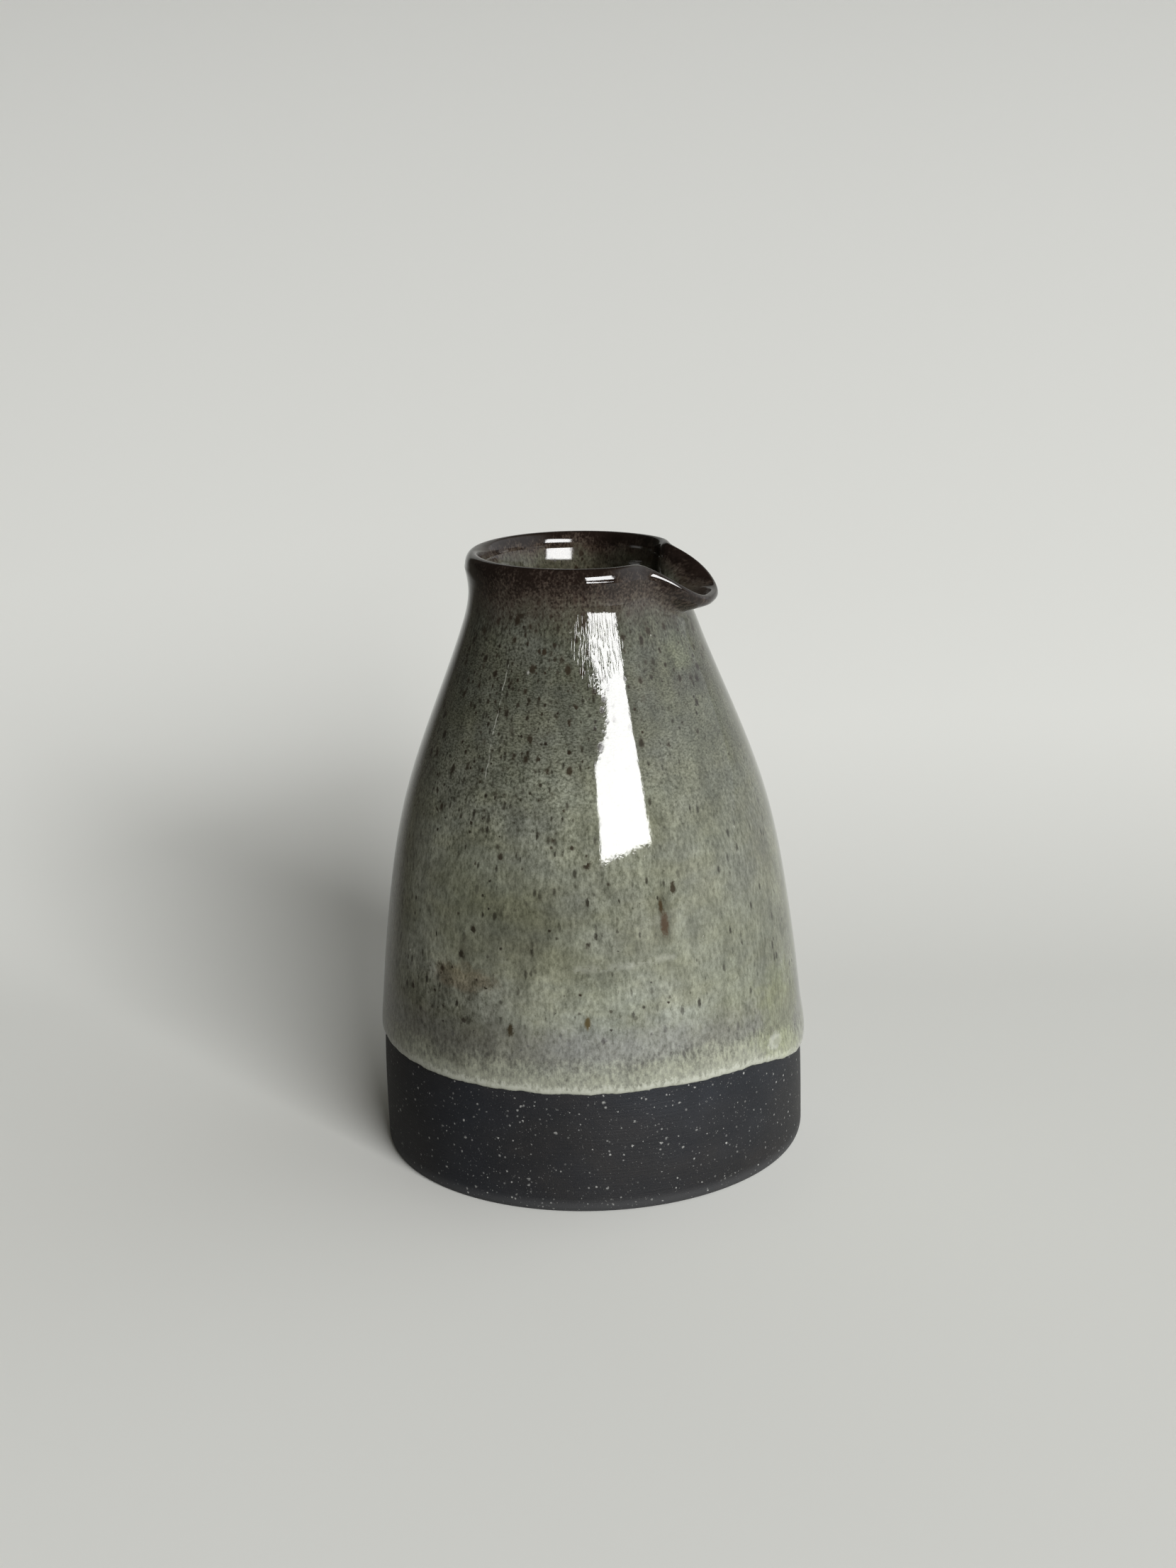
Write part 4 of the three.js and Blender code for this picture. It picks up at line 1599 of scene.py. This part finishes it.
    def world(self) -> None:
        """Makes the soft surround: a broad cool light to the right and behind, dim and warm elsewhere."""
        made = bpy.data.worlds.new("surround")
        bpy.context.scene.world = made
        made.use_nodes = True
        made.node_tree.nodes.clear()
        s = NodeSketch(made.node_tree)
        look = s.node("ShaderNodeTexCoord").outputs["Generated"]
        level = self.towards(self.key_azimuth) * math.cos(self.key_height)
        key = level + Vector((0, 0, math.sin(self.key_height)))
        share = s.span(s.vector("DOT_PRODUCT", look, tuple(key)), *self.key_spread)
        strength = s.math("ADD", self.ambient, s.product(share, self.key_strength))
        colour = s.mix(share, self.warm, self.cool)
        shade = s.node("ShaderNodeBackground", {"Color": colour, "Strength": strength})
        seen = s.node("ShaderNodeLightPath").outputs["Is Camera Ray"]
        plain = {"Color": self.floor_colour, "Strength": self.backdrop_strength}
        pale = s.node("ShaderNodeBackground", plain)
        either = s.node("ShaderNodeMixShader", {0: seen, 1: shade, 2: pale})
        s.node("ShaderNodeOutputWorld", {"Surface": either})

    def build(self) -> None:
        """Sets up the whole studio."""
        self.camera()
        self.floor()
        self.world()
        self.window()
        bpy.context.scene.view_settings.view_transform = "Standard"


def stain_and_painted_light(
    angle: float,
    height: float,
    width: float,
    length: float,
    colour: Colour,
    ragged: float = 0.2,
    strength: float = 1.0,
) -> Patch:
    """A patch that tints the coat: mostly a stain, in a few places painted light or shade.

    Args:
        angle: its angle from the spout, in radians.
        height: its height in millimetres.
        width: half its width in millimetres.
        length: half its height in millimetres.
        colour: what the coat's colour is multiplied by.
        ragged: how frayed its edge is.
        strength: how much it counts.

    Returns:
        The patch.
    """
    return Patch(angle, height, width, length, colour, strength, ragged, Blend.TINT)


GLAZE_PATCHES = (
    stain_and_painted_light(-1.2, 63.0, 15.0, 11.0, (1.25, 1.25, 1.25)),
    stain_and_painted_light(-1.17, 31.0, 16.0, 8.5, (1.21, 1.225, 1.3)),
    # Painted light: the whole left side of the wall is lightened.
    stain_and_painted_light(-2.45, 48.0, 15.0, 42.0, (1.24, 1.24, 1.25)),
    # Painted shade: the whole right side of the wall is darkened.
    stain_and_painted_light(-0.1, 52.0, 17.0, 42.0, (0.88, 0.88, 0.88)),
    stain_and_painted_light(-0.36, 85.5, 5.0, 3.4, (1.2, 1.23, 1.13), ragged=0.3),
    stain_and_painted_light(-0.3, 80.8, 7.5, 2.6, (0.85, 0.84, 0.91), ragged=0.3),
    stain_and_painted_light(-1.7, 46.0, 15.0, 9.0, (0.72, 0.71, 0.7)),
    stain_and_painted_light(-2.0, 30.0, 14.0, 7.5, (0.66, 0.65, 0.64), ragged=0.4),
    stain_and_painted_light(-1.94, 37.3, 6.5, 2.6, (0.82, 0.7, 0.62), ragged=0.4, strength=0.85),
    stain_and_painted_light(-0.93, 48.0, 3.0, 5.5, (0.76, 0.74, 0.68), ragged=0.3, strength=0.8),
    Patch(-0.918, 46.2, 0.8, 2.5, (0.042, 0.021, 0.006), 0.95, 0.32),
    Patch(-0.93, 49.1, 0.42, 1.7, (0.04, 0.026, 0.012), 0.9, 0.32),
    Patch(-0.857, 51.6, 0.6, 1.3, (0.026, 0.019, 0.01), 0.95, 0.34),
    Patch(-1.305, 31.8, 0.55, 1.35, (0.072, 0.054, 0.022), 0.95, 0.26),
    Patch(-1.662, 30.2, 0.62, 1.3, (0.03, 0.023, 0.012), 0.95, 0.38),
    Patch(-1.813, 92.5, 0.55, 0.6, ragged=0.4),
    Patch(-1.852, 91.5, 0.6, 0.7, ragged=0.4),
    Patch(-1.923, 92.0, 0.5, 0.5, ragged=0.4),
    Patch(-1.496, 88.3, 0.4, 0.55, ragged=0.4),
    Patch(-1.577, 87.3, 0.5, 0.65, (0.025, 0.017, 0.01), ragged=0.4),
    Patch(-1.278, 84.4, 0.5, 0.9, (0.024, 0.016, 0.01), ragged=0.4),
    # Painted glint: a small pale dot on the left of the neck.
    Patch(-1.697, 84.2, 0.26, 0.36, (0.32, 0.32, 0.29), ragged=0.4),
    stain_and_painted_light(-0.2, 26.0, 9.0, 9.0, (1.1, 1.13, 0.93), ragged=0.3),
    Patch(-0.307, 21.9, 2.4, 1.5, (0.46, 0.47, 0.42), 0.55, 0.3),
    Patch(-0.29, 21.7, 1.5, 0.75, (0.2, 0.208, 0.15), 0.6, 0.3),
)
PIT_SWARMS = (
    Patch(-2.0, 76.0, 20.0, 20.0, strength=0.5),
    Patch(-1.75, 87.0, 13.0, 8.0, strength=0.3),
    Patch(-2.05, 34.0, 12.0, 7.0, strength=0.5),
    Patch(-0.5, 58.0, 22.0, 34.0, strength=-0.16),
)
COMBED = (Patch(-1.15, 88.0, 4.4, 7.5, ragged=0.2),)
SCRATCH = Track(((-1.894, 68.2), (-1.901, 75.2), (-1.875, 85.9)), width=0.16, strength=0.8)
LAP_MARK = Track(((-1.344, 40.3), (-1.1, 40.5), (-0.89, 41.1)), width=1.0, strength=0.22)
OUTSIDE_FINISH = AshGlaze(
    "ash_glaze", patches=GLAZE_PATCHES, swarms=PIT_SWARMS, combed=COMBED, tracks=(SCRATCH, LAP_MARK)
)
LINER_PATCHES = (
    # The brown of thin glaze in the spout's throat, darkened further with painted shade.
    stain_and_painted_light(0.0, 90.5, 10.0, 5.0, (0.5, 0.4, 0.36), ragged=0.3),
    # Painted shade: the inside wall beyond the spout, which faces away from the light, is darkened.
    stain_and_painted_light(1.05, 94.0, 13.0, 9.0, (0.22, 0.2, 0.18)),
    stain_and_painted_light(1.95, 88.0, 18.0, 14.0, (0.78, 0.7, 0.64)),
    # The spout's inner lip: its brown glaze, lightened with painted light and a painted sheen.
    Patch(0.05, 94.0, 4.6, 2.2, (0.06, 0.05, 0.042), 0.7, 0.35),
)
LINER_FINISH = AshGlaze(
    "liner_ash_glaze",
    roughness=0.09,
    rim_relief=(4.5, 9.5, 0.0, 0.0),
    rim_depth=4.0,
    edge_width=0.01,
    patches=LINER_PATCHES,
)


def build_jug() -> None:
    """Builds and dresses the jug's pieces, and reports each one."""
    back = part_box(Shell.CLAY.value)[0][0]
    wall = ThrownWall(height=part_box(Shell.LINER.value)[1][2], foot_radius=-back)
    shared = (wall, PulledSpout(), GlazeLine(), ShellTree())
    patterns = PatternLibrary()
    finishes = {ClayBody: BareStoneware(), OuterGlaze: OUTSIDE_FINISH, LinerGlaze: LINER_FINISH}
    for shell, finish in finishes.items():
        piece = shell(*shared).build(finish.material(patterns, wall))
        LOG.info("%s: %d faces", piece.name, len(piece.data.polygons))


def main() -> None:
    """Builds the jug and the studio."""
    logging.basicConfig(level=logging.INFO, format="%(name)s %(message)s")
    build_jug()
    Studio().build()


if __name__ == "__main__":
    main()
